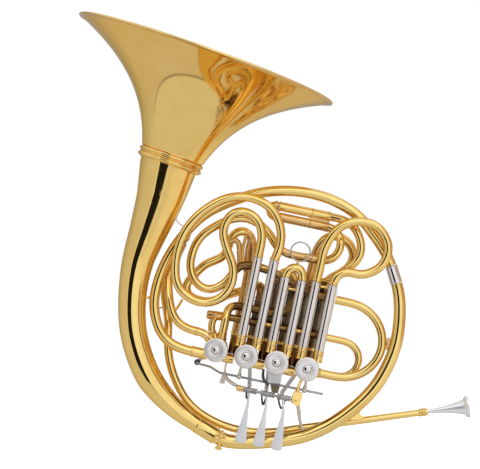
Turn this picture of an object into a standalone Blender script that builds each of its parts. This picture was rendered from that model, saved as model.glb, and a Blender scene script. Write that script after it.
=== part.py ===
"""Double french horn with four rotary valves and a screw-on bell.

The horn lies in the XZ plane, as a player's hands would show its flat side to a viewer on -Y.
+X runs towards the mouthpiece and +Z towards the bell's mouth. The origin is the left hand's
hold on the body tube. Sizes below are millimetres, and MM turns them into metres.

The valves stand in a row that slopes down to the right. Tubes near them are placed in the
row's own directions: "along" the row, and "up" the valve slides, which stand square to it.
"""
import math

import bmesh
import bpy
from mathutils import Matrix, Vector

MM = 0.001
GAP = 0.3                     # space kept between two pieces that touch

# Bell
RIM_CENTRE = Vector((-109.0, 0.0, 437.9))
BELL_TILT = math.radians(19.5)    # the bell's axis leans this far from +Z towards +X
RIM_RADIUS = 155.6
FLARE_BASE = 20.0             # radius = base + (rim - base) * exp(-depth / decay)
FLARE_DECAY = 57.0
FLARE_DEPTH = 117.0
BEAD_RADIUS = 2.2             # wire rolled into the bell's edge
SHEET = 0.9                   # wall of the bell, tail and rings
COLLAR_RADIUS = 38.6          # the two halves of the screw ring
COLLAR_LENGTH = 6.2

# Valve row
ROW_TILT = math.radians(11.8)
ROW_CENTRE = Vector((-45.0, 0.0, 91.3))
VALVE_PITCH = 35.7
VALVE_COUNT = 4
CASING_RADIUS = 13.2
CASING_BORE = 10.2
CASING_FRONT = -22.0
CASING_BACK = 32.0
BACK_WALL = 3.0
SPINDLE_RADIUS = 3.0
CAP_RADIUS = 13.9
CAP_FRONT = -28.0
FRONT_LAYER = -16.0           # depth of the F slides
MID_LAYER = 2.0               # depth of the tubes that run behind the front slides
BACK_RUN = 13.0               # depth of the tubes that run in front of the B flat slides
BACK_LAYER = 24.0             # depth of the B flat slides
LEG_SPREAD = 9.6              # a slide's legs stand this far either side of its centre
BACK_SHIFT = -7.0             # the B flat slides stand this far along from their valves
KNUCKLE_TOP = 18.5            # valve knuckles end this far up from the valve's axis

# Tubes
SLEEVE_OUTER = 5.4
SLEEVE_INNER = 4.5
LEG_RADIUS = 4.2
CROOK_RADIUS = 5.1
TUBE_RADIUS = 4.8
NARROW_RADIUS = 4.2
TUNING_LAYER = 12.0
RING_TURN = math.radians(19)  # a swept tube gets a ring each time it has turned this far

# Keys
KEY_SHAFT_UP = -37.0
KEY_SHAFT_DEPTH = -30.0
KEY_ALONG = (-6.0, 14.5, 33.5)
SPATULA_ALONG = (-5.0, 16.0, 37.0)
SPATULA_DROP = 58.0
SPATULA_WIDTH = 13.0
ARM_BACK = 41.4
STOP_RADIUS = 8.8             # the stop arm's pin is this far from the rotor's axis
LINK_DEPTH = 42.2
LINK_THICKNESS = 1.6
PIN_CLEARANCE = (2.7, 1.5, 1.5, 1.5)   # each link comes forward by a little less as its lever tilts
THUMB_UP = -25.5
THUMB_DEPTH = -10.0

MATERIALS = {
    "lacquered_brass": ((0.80, 0.58, 0.24), 0.22, 1.0),
    "nickel_silver": ((0.74, 0.70, 0.66), 0.25, 1.0),
    "silver_plate": ((0.86, 0.86, 0.87), 0.12, 1.0),
    "steel": ((0.45, 0.44, 0.43), 0.30, 1.0),
}


# Helpers ---------------------------------------------------------------------------------

def along_row():
    return Vector((math.cos(ROW_TILT), 0.0, -math.sin(ROW_TILT)))


def up_row():
    return Vector((math.sin(ROW_TILT), 0.0, math.cos(ROW_TILT)))


def row_point(along, up, depth):
    """A point given in the valve row's own directions."""
    place = ROW_CENTRE + along_row() * along + up_row() * up
    return Vector((place.x, depth, place.z))


def row_points(pairs, depth):
    return [row_point(along, up, depth) for along, up in pairs]


def flat_points(pairs, depth=0.0):
    return [Vector((x, depth, z)) for x, z in pairs]


def valve_along(index):
    return (index - (VALVE_COUNT - 1) / 2) * VALVE_PITCH


def bell_axis():
    return Vector((math.sin(BELL_TILT), 0.0, math.cos(BELL_TILT)))


def bell_point(depth):
    """The point on the bell's axis this far in from its mouth."""
    return RIM_CENTRE - bell_axis() * depth


def catmull_rom(p0, p1, p2, p3, fraction):
    """A point between p1 and p2 on the centripetal curve through four points."""
    t1 = math.sqrt((p1 - p0).length)
    t2 = t1 + math.sqrt((p2 - p1).length)
    t3 = t2 + math.sqrt((p3 - p2).length)
    t = t1 + (t2 - t1) * fraction
    a1 = p0.lerp(p1, t / t1)
    a2 = p1.lerp(p2, (t - t1) / (t2 - t1))
    a3 = p2.lerp(p3, (t - t2) / (t3 - t2))
    b1 = a1.lerp(a2, t / t2)
    b2 = a2.lerp(a3, (t - t1) / (t3 - t1))
    return b1.lerp(b2, (t - t1) / (t2 - t1))


def smooth_path(points, values=None, steps=10):
    """Points and values read from the smooth curve through the given ones."""
    values = values or [0.0] * len(points)
    before = points[0] * 2 - points[1]
    after = points[-1] * 2 - points[-2]
    chain = [before, *points, after]
    path, picked = [], []
    for i in range(len(points) - 1):
        for k in range(steps):
            path.append(catmull_rom(*chain[i:i + 4], k / steps))
            picked.append(values[i] + (values[i + 1] - values[i]) * k / steps)
    path.append(points[-1])
    picked.append(values[-1])
    return path, picked


def headings(path):
    """The direction of a path at each of its points."""
    last = len(path) - 1
    return [(path[min(i + 1, last)] - path[max(i - 1, 0)]).normalized() for i in range(last + 1)]


def thin_path(path, values, turn=RING_TURN, change=0.08):
    """Keep only the points where the path has bent, or its value changed, since the last one."""
    tangents = headings(path)
    kept = [0]
    for i in range(1, len(path) - 1):
        bent = tangents[i].angle(tangents[kept[-1]], 0.0) > turn
        if bent or abs(values[i] - values[kept[-1]]) > change * abs(values[i]):
            kept.append(i)
    kept.append(len(path) - 1)
    return [path[i] for i in kept], [values[i] for i in kept], [tangents[i] for i in kept]


def sweep_rings(bm, path, radii, tangents, sides):
    """A ring of vertices at each point of the path, square to it and without twist."""
    rings = []
    start = Vector((0, 1, 0)) if abs(tangents[0].y) < 0.9 else Vector((1, 0, 0))
    normal = (start - tangents[0] * start.dot(tangents[0])).normalized()
    for place, tangent, radius in zip(path, tangents, radii):
        normal = (normal - tangent * normal.dot(tangent)).normalized()
        side = tangent.cross(normal)
        ring = []
        for k in range(sides):
            angle = 2 * math.pi * k / sides
            offset = normal * math.cos(angle) + side * math.sin(angle)
            ring.append(bm.verts.new(place + offset * radius))
        rings.append(ring)
    return rings


def bridge(bm, ring_a, ring_b):
    count = len(ring_a)
    for k in range(count):
        m = (k + 1) % count
        bm.faces.new((ring_a[k], ring_a[m], ring_b[m], ring_b[k]))


def swept_tube(path, radii, tangents, sides, wall=None):
    """A tube along a path: solid, or with an open bore when it has a wall."""
    bm = bmesh.new()
    outer = sweep_rings(bm, path, radii, tangents, sides)
    for ring_a, ring_b in zip(outer, outer[1:]):
        bridge(bm, ring_a, ring_b)
    if wall is None:
        bm.faces.new(outer[0])
        bm.faces.new(outer[-1])
        return bm
    inner = sweep_rings(bm, path, [radius - wall for radius in radii], tangents, sides)
    for ring_a, ring_b in zip(inner, inner[1:]):
        bridge(bm, ring_a, ring_b)
    bridge(bm, outer[0], inner[0])
    bridge(bm, outer[-1], inner[-1])
    return bm


def curved_tube(points, radii, sides=8, wall=None, turn=RING_TURN):
    """A tube on the smooth curve through the points, with a radius at each of them."""
    if not isinstance(radii, (list, tuple)):
        radii = [radii] * len(points)
    return swept_tube(*thin_path(*smooth_path(points, radii), turn=turn), sides, wall)


def turned(profile, base, axis, sides, hollow=False):
    """A turned piece: (radius, height) pairs up an axis. A hollow one's profile is a loop."""
    bm = bmesh.new()
    axis = axis.normalized()
    side = axis.orthogonal().normalized()
    other = axis.cross(side)
    rings = []
    for radius, height in profile:
        ring = []
        for k in range(sides):
            angle = 2 * math.pi * k / sides
            offset = side * math.cos(angle) + other * math.sin(angle)
            ring.append(bm.verts.new(base + axis * height + offset * radius))
        rings.append(ring)
    for ring_a, ring_b in zip(rings, rings[1:]):
        bridge(bm, ring_a, ring_b)
    if hollow:
        bridge(bm, rings[-1], rings[0])
    else:
        bm.faces.new(rings[0])
        bm.faces.new(rings[-1])
    return bm


def rod(start, end, radius, sides=8):
    return turned([(radius, 0.0), (radius, (end - start).length)], start, end - start, sides)


def torus(centre, axis, major, minor, turns=18, sides=6):
    """A wire ring."""
    bm = bmesh.new()
    side = axis.orthogonal().normalized()
    other = axis.cross(side)
    rings = []
    for k in range(turns):
        angle = 2 * math.pi * k / turns
        out = side * math.cos(angle) + other * math.sin(angle)
        ring = []
        for m in range(sides):
            around = 2 * math.pi * m / sides
            offset = out * (major + minor * math.cos(around)) + axis * (minor * math.sin(around))
            ring.append(bm.verts.new(centre + offset))
        rings.append(ring)
    for k in range(turns):
        bridge(bm, rings[k], rings[(k + 1) % turns])
    return bm


def plate(outline, thickness, place):
    """A flat plate: an outline of (along, up) pairs, thick in depth from the place's depth."""
    bm = bmesh.new()
    lower = [bm.verts.new(row_point(a, b, place)) for a, b in outline]
    upper = [bm.verts.new(row_point(a, b, place + thickness)) for a, b in outline]
    bm.faces.new(lower)
    bm.faces.new(upper)
    bridge(bm, lower, upper)
    return bm


def round_ended(start, end, radius, steps=5):
    """The outline of a bar with round ends between two (along, up) points."""
    run = Vector((end[0] - start[0], end[1] - start[1]))
    heading = math.atan2(run.y, run.x)
    outline = []
    for centre, turn in ((end, -math.pi / 2), (start, math.pi / 2)):
        for k in range(steps + 1):
            angle = heading + turn + math.pi * k / steps
            outline.append((centre[0] + radius * math.cos(angle),
                            centre[1] + radius * math.sin(angle)))
    return outline


def material(name):
    made = bpy.data.materials.get(name)
    if made:
        return made
    colour, roughness, metallic = MATERIALS[name]
    made = bpy.data.materials.new(name)
    made.use_nodes = True
    shader = made.node_tree.nodes["Principled BSDF"]
    shader.inputs["Base Color"].default_value = (*colour, 1.0)
    shader.inputs["Roughness"].default_value = roughness
    shader.inputs["Metallic"].default_value = metallic
    made.diffuse_color = (*colour, 1.0)
    return made


def evaluated_mesh(obj):
    bpy.context.view_layer.update()
    graph = bpy.context.evaluated_depsgraph_get()
    return bpy.data.meshes.new_from_object(obj.evaluated_get(graph))


def loose_object(bm, name="loose"):
    """A working object from a bmesh in millimetres, with its faces turned outward."""
    bmesh.ops.recalc_face_normals(bm, faces=bm.faces)
    mesh = bpy.data.meshes.new(name)
    bm.to_mesh(mesh)
    bm.free()
    obj = bpy.data.objects.new(name, mesh)
    bpy.context.scene.collection.objects.link(obj)
    return obj


def combine(base, others, operation):
    """Join the others to the base, or cut them from it, and return the base alone."""
    for bm in others:
        other = loose_object(bm)
        change = base.modifiers.new(operation.lower(), 'BOOLEAN')
        change.operation = operation
        change.solver = 'EXACT'
        change.object = other
        result = evaluated_mesh(base)
        base.modifiers.remove(change)
        base.data = result
        bpy.data.objects.remove(other)
    return base


def finish(name, obj, finish_name, origin=None, group=None):
    """Turn a working object into a node: metres, own origin, material and parent empty."""
    origin = Vector((0, 0, 0)) if origin is None else origin
    mesh = obj.data
    mesh.transform(Matrix.Scale(MM, 4) @ Matrix.Translation(-origin))
    bm = bmesh.new()
    bm.from_mesh(mesh)
    bmesh.ops.dissolve_degenerate(bm, dist=1e-7, edges=bm.edges)
    bmesh.ops.recalc_face_normals(bm, faces=bm.faces)
    bm.to_mesh(mesh)
    bm.free()
    mesh.materials.clear()
    mesh.materials.append(material(finish_name))
    mesh.shade_smooth()
    mesh.set_sharp_from_angle(angle=math.radians(40))
    obj.name = name
    mesh.name = name
    obj.location = origin * MM
    if group:
        obj.parent = group_empty(group)
    return obj


def node(name, bm, finish_name, origin=None, group=None, joined=(), cut=()):
    """Build one named piece from its body, the shapes joined to it and those cut from it."""
    obj = loose_object(bm, name)
    combine(obj, joined, 'UNION')
    combine(obj, cut, 'DIFFERENCE')
    return finish(name, obj, finish_name, origin, group)


def group_empty(name):
    empty = bpy.data.objects.get(name)
    if empty is None:
        empty = bpy.data.objects.new(name, None)
        bpy.context.scene.collection.objects.link(empty)
    return empty


# Bell and body -------------------------------------------------------------------------------

def flare_radius(depth):
    return FLARE_BASE + (RIM_RADIUS - FLARE_BASE) * math.exp(-depth / FLARE_DECAY)


def make_bell_flare():
    """The detachable bell: a flaring sheet with a wire rolled into its edge."""
    depths = [FLARE_DEPTH * (k / 9) ** 1.5 for k in range(10)]
    bead = BEAD_RADIUS
    edge = RIM_RADIUS - bead
    outer = [(flare_radius(depth), -depth) for depth in depths[1:]]
    inner = [(flare_radius(depth) - SHEET * 1.4, -depth + SHEET * 0.3) for depth in depths[1:]]
    rolled = [(edge - bead, 0.0), (edge - 0.8, bead), (edge + 0.8, bead), (edge + bead, 0.6),
              (edge + bead, -0.6), (edge, -bead)]
    profile = rolled[1:] + outer + inner[::-1] + rolled[:1]
    bm = turned(profile, RIM_CENTRE, bell_axis(), 32, hollow=True)
    node("bell_flare", bm, "lacquered_brass", origin=bell_point(FLARE_DEPTH), group="bell")


def make_screw_ring():
    """The two collars that screw together: one on the flare and one on the tail."""
    top = FLARE_DEPTH
    middle = top + GAP + COLLAR_LENGTH
    for name, start, group in (("flare_collar", top + GAP, "bell"),
                               ("tail_collar", middle + GAP, "body")):
        half = COLLAR_LENGTH / 2
        bore = flare_radius(FLARE_DEPTH) - SHEET * 1.4
        profile = [(COLLAR_RADIUS - 1.6, 0.0), (COLLAR_RADIUS, -half * 0.6),
                   (COLLAR_RADIUS, -half * 1.4), (COLLAR_RADIUS - 1.6, -COLLAR_LENGTH),
                   (bore, -COLLAR_LENGTH), (bore, 0.0)]
        bm = turned(profile, bell_point(start), bell_axis(), 26, hollow=True)
        node(name, bm, "lacquered_brass", origin=bell_point(start), group=group)


TAIL_STATIONS = (              # x, z and the tube's radius there
    (-162, 278, 27.8), (-169, 258, 25.0), (-178, 233, 21.6), (-187, 208, 18.8), (-192.5, 182, 17.0),
    (-195, 150, 16.0), (-193, 120, 15.6), (-184, 88, 15.4), (-173, 65, 15.0), (-154, 42, 12.8),
    (-137, 26.5, 10.7), (-119, 14, 9.2))


def make_bell_tail():
    """The wide conical tube from the screw ring round to the bottom of the body."""
    top_depth = FLARE_DEPTH + 2 * (GAP + COLLAR_LENGTH) + GAP
    points = [bell_point(top_depth)] + [Vector((x, 0, z)) for x, z, _ in TAIL_STATIONS]
    radii = [33.6] + [radius for _, _, radius in TAIL_STATIONS]
    bm = curved_tube(points, radii, sides=18, wall=SHEET, turn=math.radians(17))
    node("bell_tail", bm, "lacquered_brass", group="body")


# The body's round tube, as (x, z) places along its middle
FIRST_BRANCH = (
    (-98, 1), (-93.5, -1.8), (-84, -4.6), (-75, -5.6), (-44, -5.5), (0, 0), (31, 12), (58, 30),
    (83.5, 53.5), (100, 79), (111, 107), (115.4, 136), (115.4, 160), (113.6, 172), (112, 178))
SECOND_BRANCH = (
    (105.5, 199), (103.4, 205), (98, 216), (88, 231), (70, 254), (52, 267.5), (32, 277), (10, 283),
    (-12, 285.5), (-42, 284), (-79, 273.5), (-112, 257), (-141, 227), (-160, 194), (-169, 161),
    (-168, 141), (-162, 122.5), (-151, 109), (-134, 101.5), (-125, 99.4))
JOINT_GAP = 0.6               # room where a ferrule meets a bent tube's end


def make_body_tubes():
    """The conical tube round the body, in two branches, and the ferrules at its joints."""
    branch = flat_points(FIRST_BRANCH)
    radii = [8.8 - 2.2 * k / (len(branch) - 1) for k in range(len(branch))]
    node("first_branch", curved_tube(branch, radii, sides=12), "lacquered_brass", group="body",
         joined=water_key_seat())

    branch = flat_points(SECOND_BRANCH)
    radii = [6.4 - 0.8 * k / (len(branch) - 1) for k in range(len(branch))]
    stay = rod(Vector((-176.4, 0, 160.5)), Vector((-172.0, 0, 160.5)), 2.4, 8)
    node("second_branch", curved_tube(branch, radii, sides=10), "lacquered_brass", group="body",
         joined=(stay,))

    joints = (("tail_ferrule", Vector((-119, 0, 14)), branch_start(FIRST_BRANCH), 10.0, 10.4,
               "lacquered_brass"),
              ("branch_ferrule", Vector((112, 0, 178)), Vector((105.5, 0, 199)), 7.6, 7.3,
               "nickel_silver"))
    for name, start, end, first, last, finish_name in joints:
        run = (end - start).normalized()
        start, end = start + run * JOINT_GAP, end - run * JOINT_GAP
        length = (end - start).length
        profile = [(first - 0.8, 0.0), (first, 1.0), (last, length - 1.0), (last - 0.8, length)]
        node(name, turned(profile, start, end - start, 16), finish_name, group="body")


def branch_start(branch):
    return Vector((branch[0][0], 0, branch[0][1]))


# Mouthpipe -------------------------------------------------------------------------------

LEADPIPE = ((-153, 128), (-154, 112), (-151.5, 86), (-145, 66), (-132.5, 44), (-116, 28.5),
            (-88, 13.5), (-58, 5.5), (-29, 5.0), (0, 9.0), (29, 13.5), (71, 19.5), (139, 28.4))
RECEIVER_LENGTH = 10.0
SHANK_INSIDE = 8.0


def mouthpipe_axis():
    (x, z), (end_x, end_z) = LEADPIPE[-2:]
    return Vector((end_x - x, 0, end_z - z)).normalized()


def main_slide_axis():
    return Vector((0.42, 0.0, 0.907)).normalized()


MAIN_SLIDE_FOOT = Vector((-150.0, 0.0, 196.0))
MAIN_SLEEVE = 32.0
MAIN_REACH = 26.0
MAIN_DEPTHS = (BACK_LAYER, TUNING_LAYER)


def make_mouthpipe():
    """The leadpipe, the receiver on its end, and the mouthpiece pushed into that."""
    foot = MAIN_SLIDE_FOOT + Vector((0, BACK_LAYER, 0))
    below = main_slide_axis()
    climb = [foot - below * GAP, foot - below * 12.0,
             Vector((-158, BACK_LAYER - 2, 166)), Vector((-155, 18, 146))]
    points = climb + flat_points(LEADPIPE, BACK_RUN)
    radii = [TUBE_RADIUS] * (len(points) - 5) + [4.6, 4.5, 4.4, 4.2, 3.8]
    node("leadpipe", curved_tube(points, radii, sides=8), "lacquered_brass", group="body")

    axis = mouthpipe_axis()
    start = Vector((LEADPIPE[-1][0], BACK_RUN, LEADPIPE[-1][1])) + axis * GAP
    bore = 2.9
    profile = [(4.4, 0.0), (5.0, 1.0), (5.0, 2.6), (4.3, 3.2), (4.9, 3.8), (4.9, 8.4),
               (4.3, RECEIVER_LENGTH), (bore, RECEIVER_LENGTH), (bore, 0.0)]
    node("mouthpiece_receiver", turned(profile, start, axis, 14, hollow=True),
         "lacquered_brass", group="body")

    base = start + axis * (RECEIVER_LENGTH - SHANK_INSIDE)
    outside = ((2.3, 0.0), (2.5, 8.6), (2.8, 14.0), (4.0, 26.0), (5.6, 36.0), (7.6, 45.0),
               (8.6, 49.0), (8.8, 51.0), (11.2, 52.2), (12.6, 53.4), (12.9, 55.2), (12.0, 56.6))
    inside = ((9.4, 56.2), (8.6, 54.0), (5.6, 42.0), (3.0, 28.0), (1.9, 18.0), (1.4, 0.0))
    bm = turned(list(outside) + list(inside), base, axis, 16, hollow=True)
    node("mouthpiece", bm, "silver_plate", origin=base, group="mouthpiece_slide")


def make_main_slide():
    """The main tuning slide: two sleeves side by side in depth, and a bow across them."""
    axis = main_slide_axis()
    base = MAIN_SLIDE_FOOT
    sleeves = []
    for depth in MAIN_DEPTHS:
        foot = base + Vector((0, depth, 0))
        profile = sleeve_profile(MAIN_SLEEVE)
        sleeves.append(turned(profile, foot, axis, 10, hollow=True))
    middle = base + axis * (MAIN_SLEEVE * 0.4)
    tie = rod(middle + Vector((0, MAIN_DEPTHS[0] - 5.0, 0)),
              middle + Vector((0, MAIN_DEPTHS[1] + 5.0, 0)), 1.6, 6)
    node("main_slide_sleeves", sleeves[0], "nickel_silver", group="body",
         joined=(tie, sleeves[1]))

    half = (MAIN_DEPTHS[0] - MAIN_DEPTHS[1]) / 2
    centre = base + axis * (MAIN_SLEEVE + 5.0) + Vector((0, MAIN_DEPTHS[1] + half, 0))
    arc = [centre + Vector((0, half * math.cos(angle), 0)) + axis * (half * math.sin(angle))
           for angle in [math.pi * k / 6 for k in range(7)]]
    node("main_tuning_crook", crook(arc, headings(arc), axis, MAIN_REACH), "lacquered_brass",
         origin=centre, group="main_tuning_slide")


def make_neck_tube():
    """From the main tuning slide down to the change valve's upper left port."""
    foot = MAIN_SLIDE_FOOT + Vector((0, TUNING_LAYER, 0))
    below = main_slide_axis()
    points = [foot - below * GAP, foot - below * 8.0, Vector((-153, 8, 176)),
              Vector((-151.5, 2, 160)), Vector((-148.5, 0, 145)), Vector((-140.5, 0, 132)),
              Vector((-127, 0, 124.5)), Vector((-114, 0, 121.5)), Vector((-107.5, 0, 117))]
    node("neck_tube", curved_tube(points, TUBE_RADIUS, sides=8), "lacquered_brass",
         group="body")


# Valves ----------------------------------------------------------------------------------

def slide_centre(index, back):
    return valve_along(index) + (BACK_SHIFT if back else 0.0)


def knuckle(along, start, end, depth, radius=5.8):
    """A short upright tube from a valve's casing to the foot of a slide sleeve."""
    return rod(row_point(along, start, depth), row_point(along, end, depth), radius, 10)


def side_knuckle(start, end, up, depth, radius):
    return rod(row_point(start, up, depth), row_point(end, up, depth), radius, 10)


def casing_knuckles(index):
    centre = valve_along(index)
    shapes = []
    if index == 0:
        shapes.append(side_knuckle(centre - 9.0, centre - 22.5, -8.4, 0.0, 6.2))
        stubs = (((-5.0, 9.5), (-9.0, 18.0), BACK_RUN, 5.0), ((-4.0, 10.0), (-6.6, 17.0), 0.0, 5.2),
                 ((4.0, 10.0), (4.0, 15.0), MID_LAYER, 5.4))
        for low, high, depth, radius in stubs:
            shapes.append(rod(row_point(centre + low[0], low[1], depth),
                              row_point(centre + high[0], high[1], depth), radius, 10))
    else:
        for side in (-1, 1):
            shapes.append(knuckle(centre + side * LEG_SPREAD, 9.6, KNUCKLE_TOP, FRONT_LAYER))
            back = slide_centre(index, True) + side * LEG_SPREAD
            foot = -3.0 if side < 0 else 10.0
            shapes.append(knuckle(back, foot, KNUCKLE_TOP, BACK_LAYER, SLEEVE_OUTER))
    if index < VALVE_COUNT - 1:
        reach = centre + VALVE_PITCH - CASING_RADIUS - GAP
        for depth in (-14.0, 9.0):
            shapes.append(side_knuckle(centre + 9.5, reach, -7.5, depth, 4.6))
    else:
        shapes.append(side_knuckle(centre + 9.5, centre + 17.0, -3.2, MID_LAYER, 5.4))
        shapes.append(side_knuckle(centre + 9.5, centre + 17.0, -3.2, BACK_RUN, 4.7))
    return shapes


def make_valve(index):
    """One rotary valve: casing with its knuckles, screw cap, and rotor with its stop arm."""
    number = index + 1
    centre = row_point(valve_along(index), 0, 0)
    depth_axis = Vector((0, 1, 0))
    back = CASING_BACK - BACK_WALL
    profile = [(CASING_RADIUS, CASING_FRONT), (CASING_RADIUS, CASING_BACK),
               (SPINDLE_RADIUS + GAP, CASING_BACK), (SPINDLE_RADIUS + GAP, back),
               (CASING_BORE, back), (CASING_BORE, CASING_FRONT)]
    casing = turned(profile, centre, depth_axis, 18, hollow=True)
    bore = turned([(CASING_BORE, CASING_FRONT - 1.0), (CASING_BORE, back)], centre, depth_axis, 18)
    shapes, cuts = casing_knuckles(index), [bore]
    if index in THUMB_POSTS:
        post, hole = thumb_post(THUMB_POSTS[index])
        shapes += post
        cuts.append(hole)
    node(f"valve_casing_{number}", casing, "lacquered_brass", group="body", joined=shapes,
         cut=cuts)

    dimple = 2.2
    profile = [(CAP_RADIUS, CASING_FRONT - GAP), (CAP_RADIUS, CAP_FRONT + 1.2),
               (CAP_RADIUS - 1.2, CAP_FRONT), (5.4, CAP_FRONT), (4.6, CAP_FRONT + 1.0),
               (dimple, CAP_FRONT + 1.0)]
    node(f"valve_cap_{number}", turned(profile, centre, depth_axis, 18), "nickel_silver",
         group="body")

    front = CASING_FRONT + 0.6
    rotor = CASING_BORE - GAP
    tail_end = CASING_BACK + 7.0
    profile = [(rotor, front), (rotor, back - GAP), (SPINDLE_RADIUS, back - GAP),
               (SPINDLE_RADIUS, tail_end)]
    body = turned(profile, centre, depth_axis, 18)
    passages = []
    for side in (-1, 1):
        for depth in (-12.0, 14.0):
            lane = valve_along(index) + side * 9.5
            passages.append(rod(row_point(lane, -12, depth), row_point(lane, 12, depth), 4.3, 6))
    node(f"rotor_{number}", body, "nickel_silver", origin=centre, group=f"valve_{number}_turn",
         cut=passages)


def stop_pin(index):
    """Where a stop arm's pin stands at rest, in (along, up)."""
    side = 1 if index == 1 else -1
    reach = STOP_RADIUS / math.sqrt(2)
    return valve_along(index) + side * reach, -reach


def make_stop_arm(index):
    """The arm fixed on the rotor's spindle, with the pin that its link drives."""
    number = index + 1
    centre = (valve_along(index), 0.0)
    depth = CASING_BACK + 2.0
    pin = stop_pin(index)
    arm = plate(round_ended(centre, pin, 2.6), 2.4, depth)
    boss = rod(row_point(*centre, depth - 0.6), row_point(*centre, depth + 4.2), 5.2, 12)
    stud = rod(row_point(*pin, depth + 1.0), row_point(*pin, LINK_DEPTH - PIN_CLEARANCE[index]),
               1.3, 8)
    hole = rod(row_point(*centre, depth - 2.0), row_point(*centre, depth + 8.0),
               SPINDLE_RADIUS + GAP, 12)
    node(f"stop_arm_{number}", arm, "nickel_silver", origin=row_point(*centre, 0),
         group=f"valve_{number}_turn", joined=(boss, stud), cut=(hole,))


# Valve slides ------------------------------------------------------------------------------

def sleeve_profile(length):
    return [(SLEEVE_OUTER, 0.0), (SLEEVE_OUTER, length), (SLEEVE_INNER, length),
            (SLEEVE_INNER, 0.0)]


def make_sleeve_pair(name, legs, depth, ties):
    """Two sleeves standing on a valve's knuckles, joined by small braces."""
    sleeves = []
    for along, top in legs:
        foot = row_point(along, KNUCKLE_TOP + GAP, depth)
        length = top - KNUCKLE_TOP - GAP
        sleeves.append(turned(sleeve_profile(length), foot, up_row(), 10, hollow=True))
    braces = []
    for up in ties:
        inset = SLEEVE_OUTER - 0.5
        braces.append(rod(row_point(legs[0][0] + inset, up, depth),
                          row_point(legs[1][0] - inset, up, depth), 1.7, 6))
    node(name, sleeves[0], "nickel_silver", group="body",
         joined=(braces[0], sleeves[1], *braces[1:]))


def crook(path, tangents, axis, reach):
    """A crook: its curve, and thin legs that reach down inside the sleeves at both ends."""
    shoulder = CROOK_RADIUS - 0.6
    depths = (reach, 0.7, 0.5)
    radii = [LEG_RADIUS, LEG_RADIUS, shoulder]
    before = [path[0] - axis * depth for depth in depths]
    after = [path[-1] - axis * depth for depth in depths[::-1]]
    radii = radii + [CROOK_RADIUS] * len(path) + radii[::-1]
    tangents = [axis] * 3 + tangents + [-axis] * 3
    return swept_tube(before + path + after, radii, tangents, 8)


F_CROOKS = {
    1: ((-8.4, 115), (-5.5, 133), (-9, 152), (-19, 167.5), (-33, 176.5), (-56, 179.5), (-79, 172),
        (-103.5, 149.5), (-117.5, 122.5), (-120, 91.5), (-111, 62.5), (-88, 50), (-65.5, 55),
        (-52.5, 73), (-53, 96), (-65.5, 117.5), (-73.5, 137), (-67, 157), (-53, 162.5),
        (-36, 155), (-28.2, 139), (-27.6, 126), (-27.6, 115)),
    2: ((8.2, 99), (7.4, 108), (11.5, 115.5), (18, 118), (24.5, 115.5), (28.4, 108), (27.4, 99)),
    3: ((43.9, 101), (44.5, 117), (45.5, 142), (56, 165.5), (75.5, 178), (100, 176.5), (117, 156.5),
        (113, 132.5), (94, 119), (75, 118.5), (66, 112), (63.1, 101)),
}
B_CROOKS = {
    1: ((-34.6, 50), (-34.9, 90), (-35.4, 120), (-38.5, 133), (-45, 139.5), (-51, 140.5),
        (-58, 138), (-63.5, 129), (-65.5, 117), (-72, 103), (-84, 91), (-97, 76), (-102.5, 68),
        (-103, 60), (-97.5, 53.5), (-88, 50.5), (-76, 50.5), (-65, 54.5, 26), (-56, 61, 31),
        (-46, 67, 36), (-35, 72, 38), (-25, 78, 36), (-18.5, 83, 30), (-15.6, 77, 25),
        (-15.4, 66)),
    2: ((1.2, 89), (1.6, 97), (5.5, 103), (10.8, 105), (16, 103), (20, 97), (20.4, 89)),
    3: ((36.9, 95), (37, 118), (39, 139), (48, 154), (62, 156.5), (75, 150.5), (82, 138), (79.5, 125),
        (68.5, 113), (58.5, 105), (56.1, 95)),
}
SLIDE_REACH = 26.0
TIES = {(False, 1): (104,), (False, 2): (60, 86), (False, 3): (40, 92),
        (True, 1): (36,), (True, 2): (54,), (True, 3): (76,)}


def crook_points(curve, depth):
    """A crook's (along, up) places at its slide's depth; a third number gives another depth."""
    return [row_point(*place[:2], place[2] if len(place) > 2 else depth) for place in curve]


def make_valve_slide(index, back):
    """The sleeves and the crook of one valve's F slide, or of its B flat slide behind."""
    curve = (B_CROOKS if back else F_CROOKS)[index]
    depth = BACK_LAYER if back else FRONT_LAYER
    key = "b_flat" if back else "f"
    first, last = curve[0], curve[-1]
    legs = [(first[0], first[1] - 1.2), (last[0], last[1] - 1.2)]
    make_sleeve_pair(f"{key}_sleeves_{index}", sorted(legs), depth, TIES[back, index])

    path, _, tangents = thin_path(*smooth_path(crook_points(curve, depth)))
    tangents[0], tangents[-1] = up_row(), -up_row()
    rings = []
    if index == 2 and not back:
        rings.append(torus(row_point(18.0, 133.4, depth), Vector((0, 1, 0)), 11.0, 1.1, 14, 5))
    node(f"{key}_crook_{index}", crook(path, tangents, up_row(), SLIDE_REACH),
         "lacquered_brass", origin=row_point(*first, depth), group=f"{key}_slide_{index}",
         joined=rings)


# Fixed tubes behind the valve slides --------------------------------------------------------

TUNING_UPS = (177.3, 164.8)
TUNING_LEFT = -16.0
TUNING_RIGHT = 46.0
TUNING_REACH = 36.0


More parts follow.
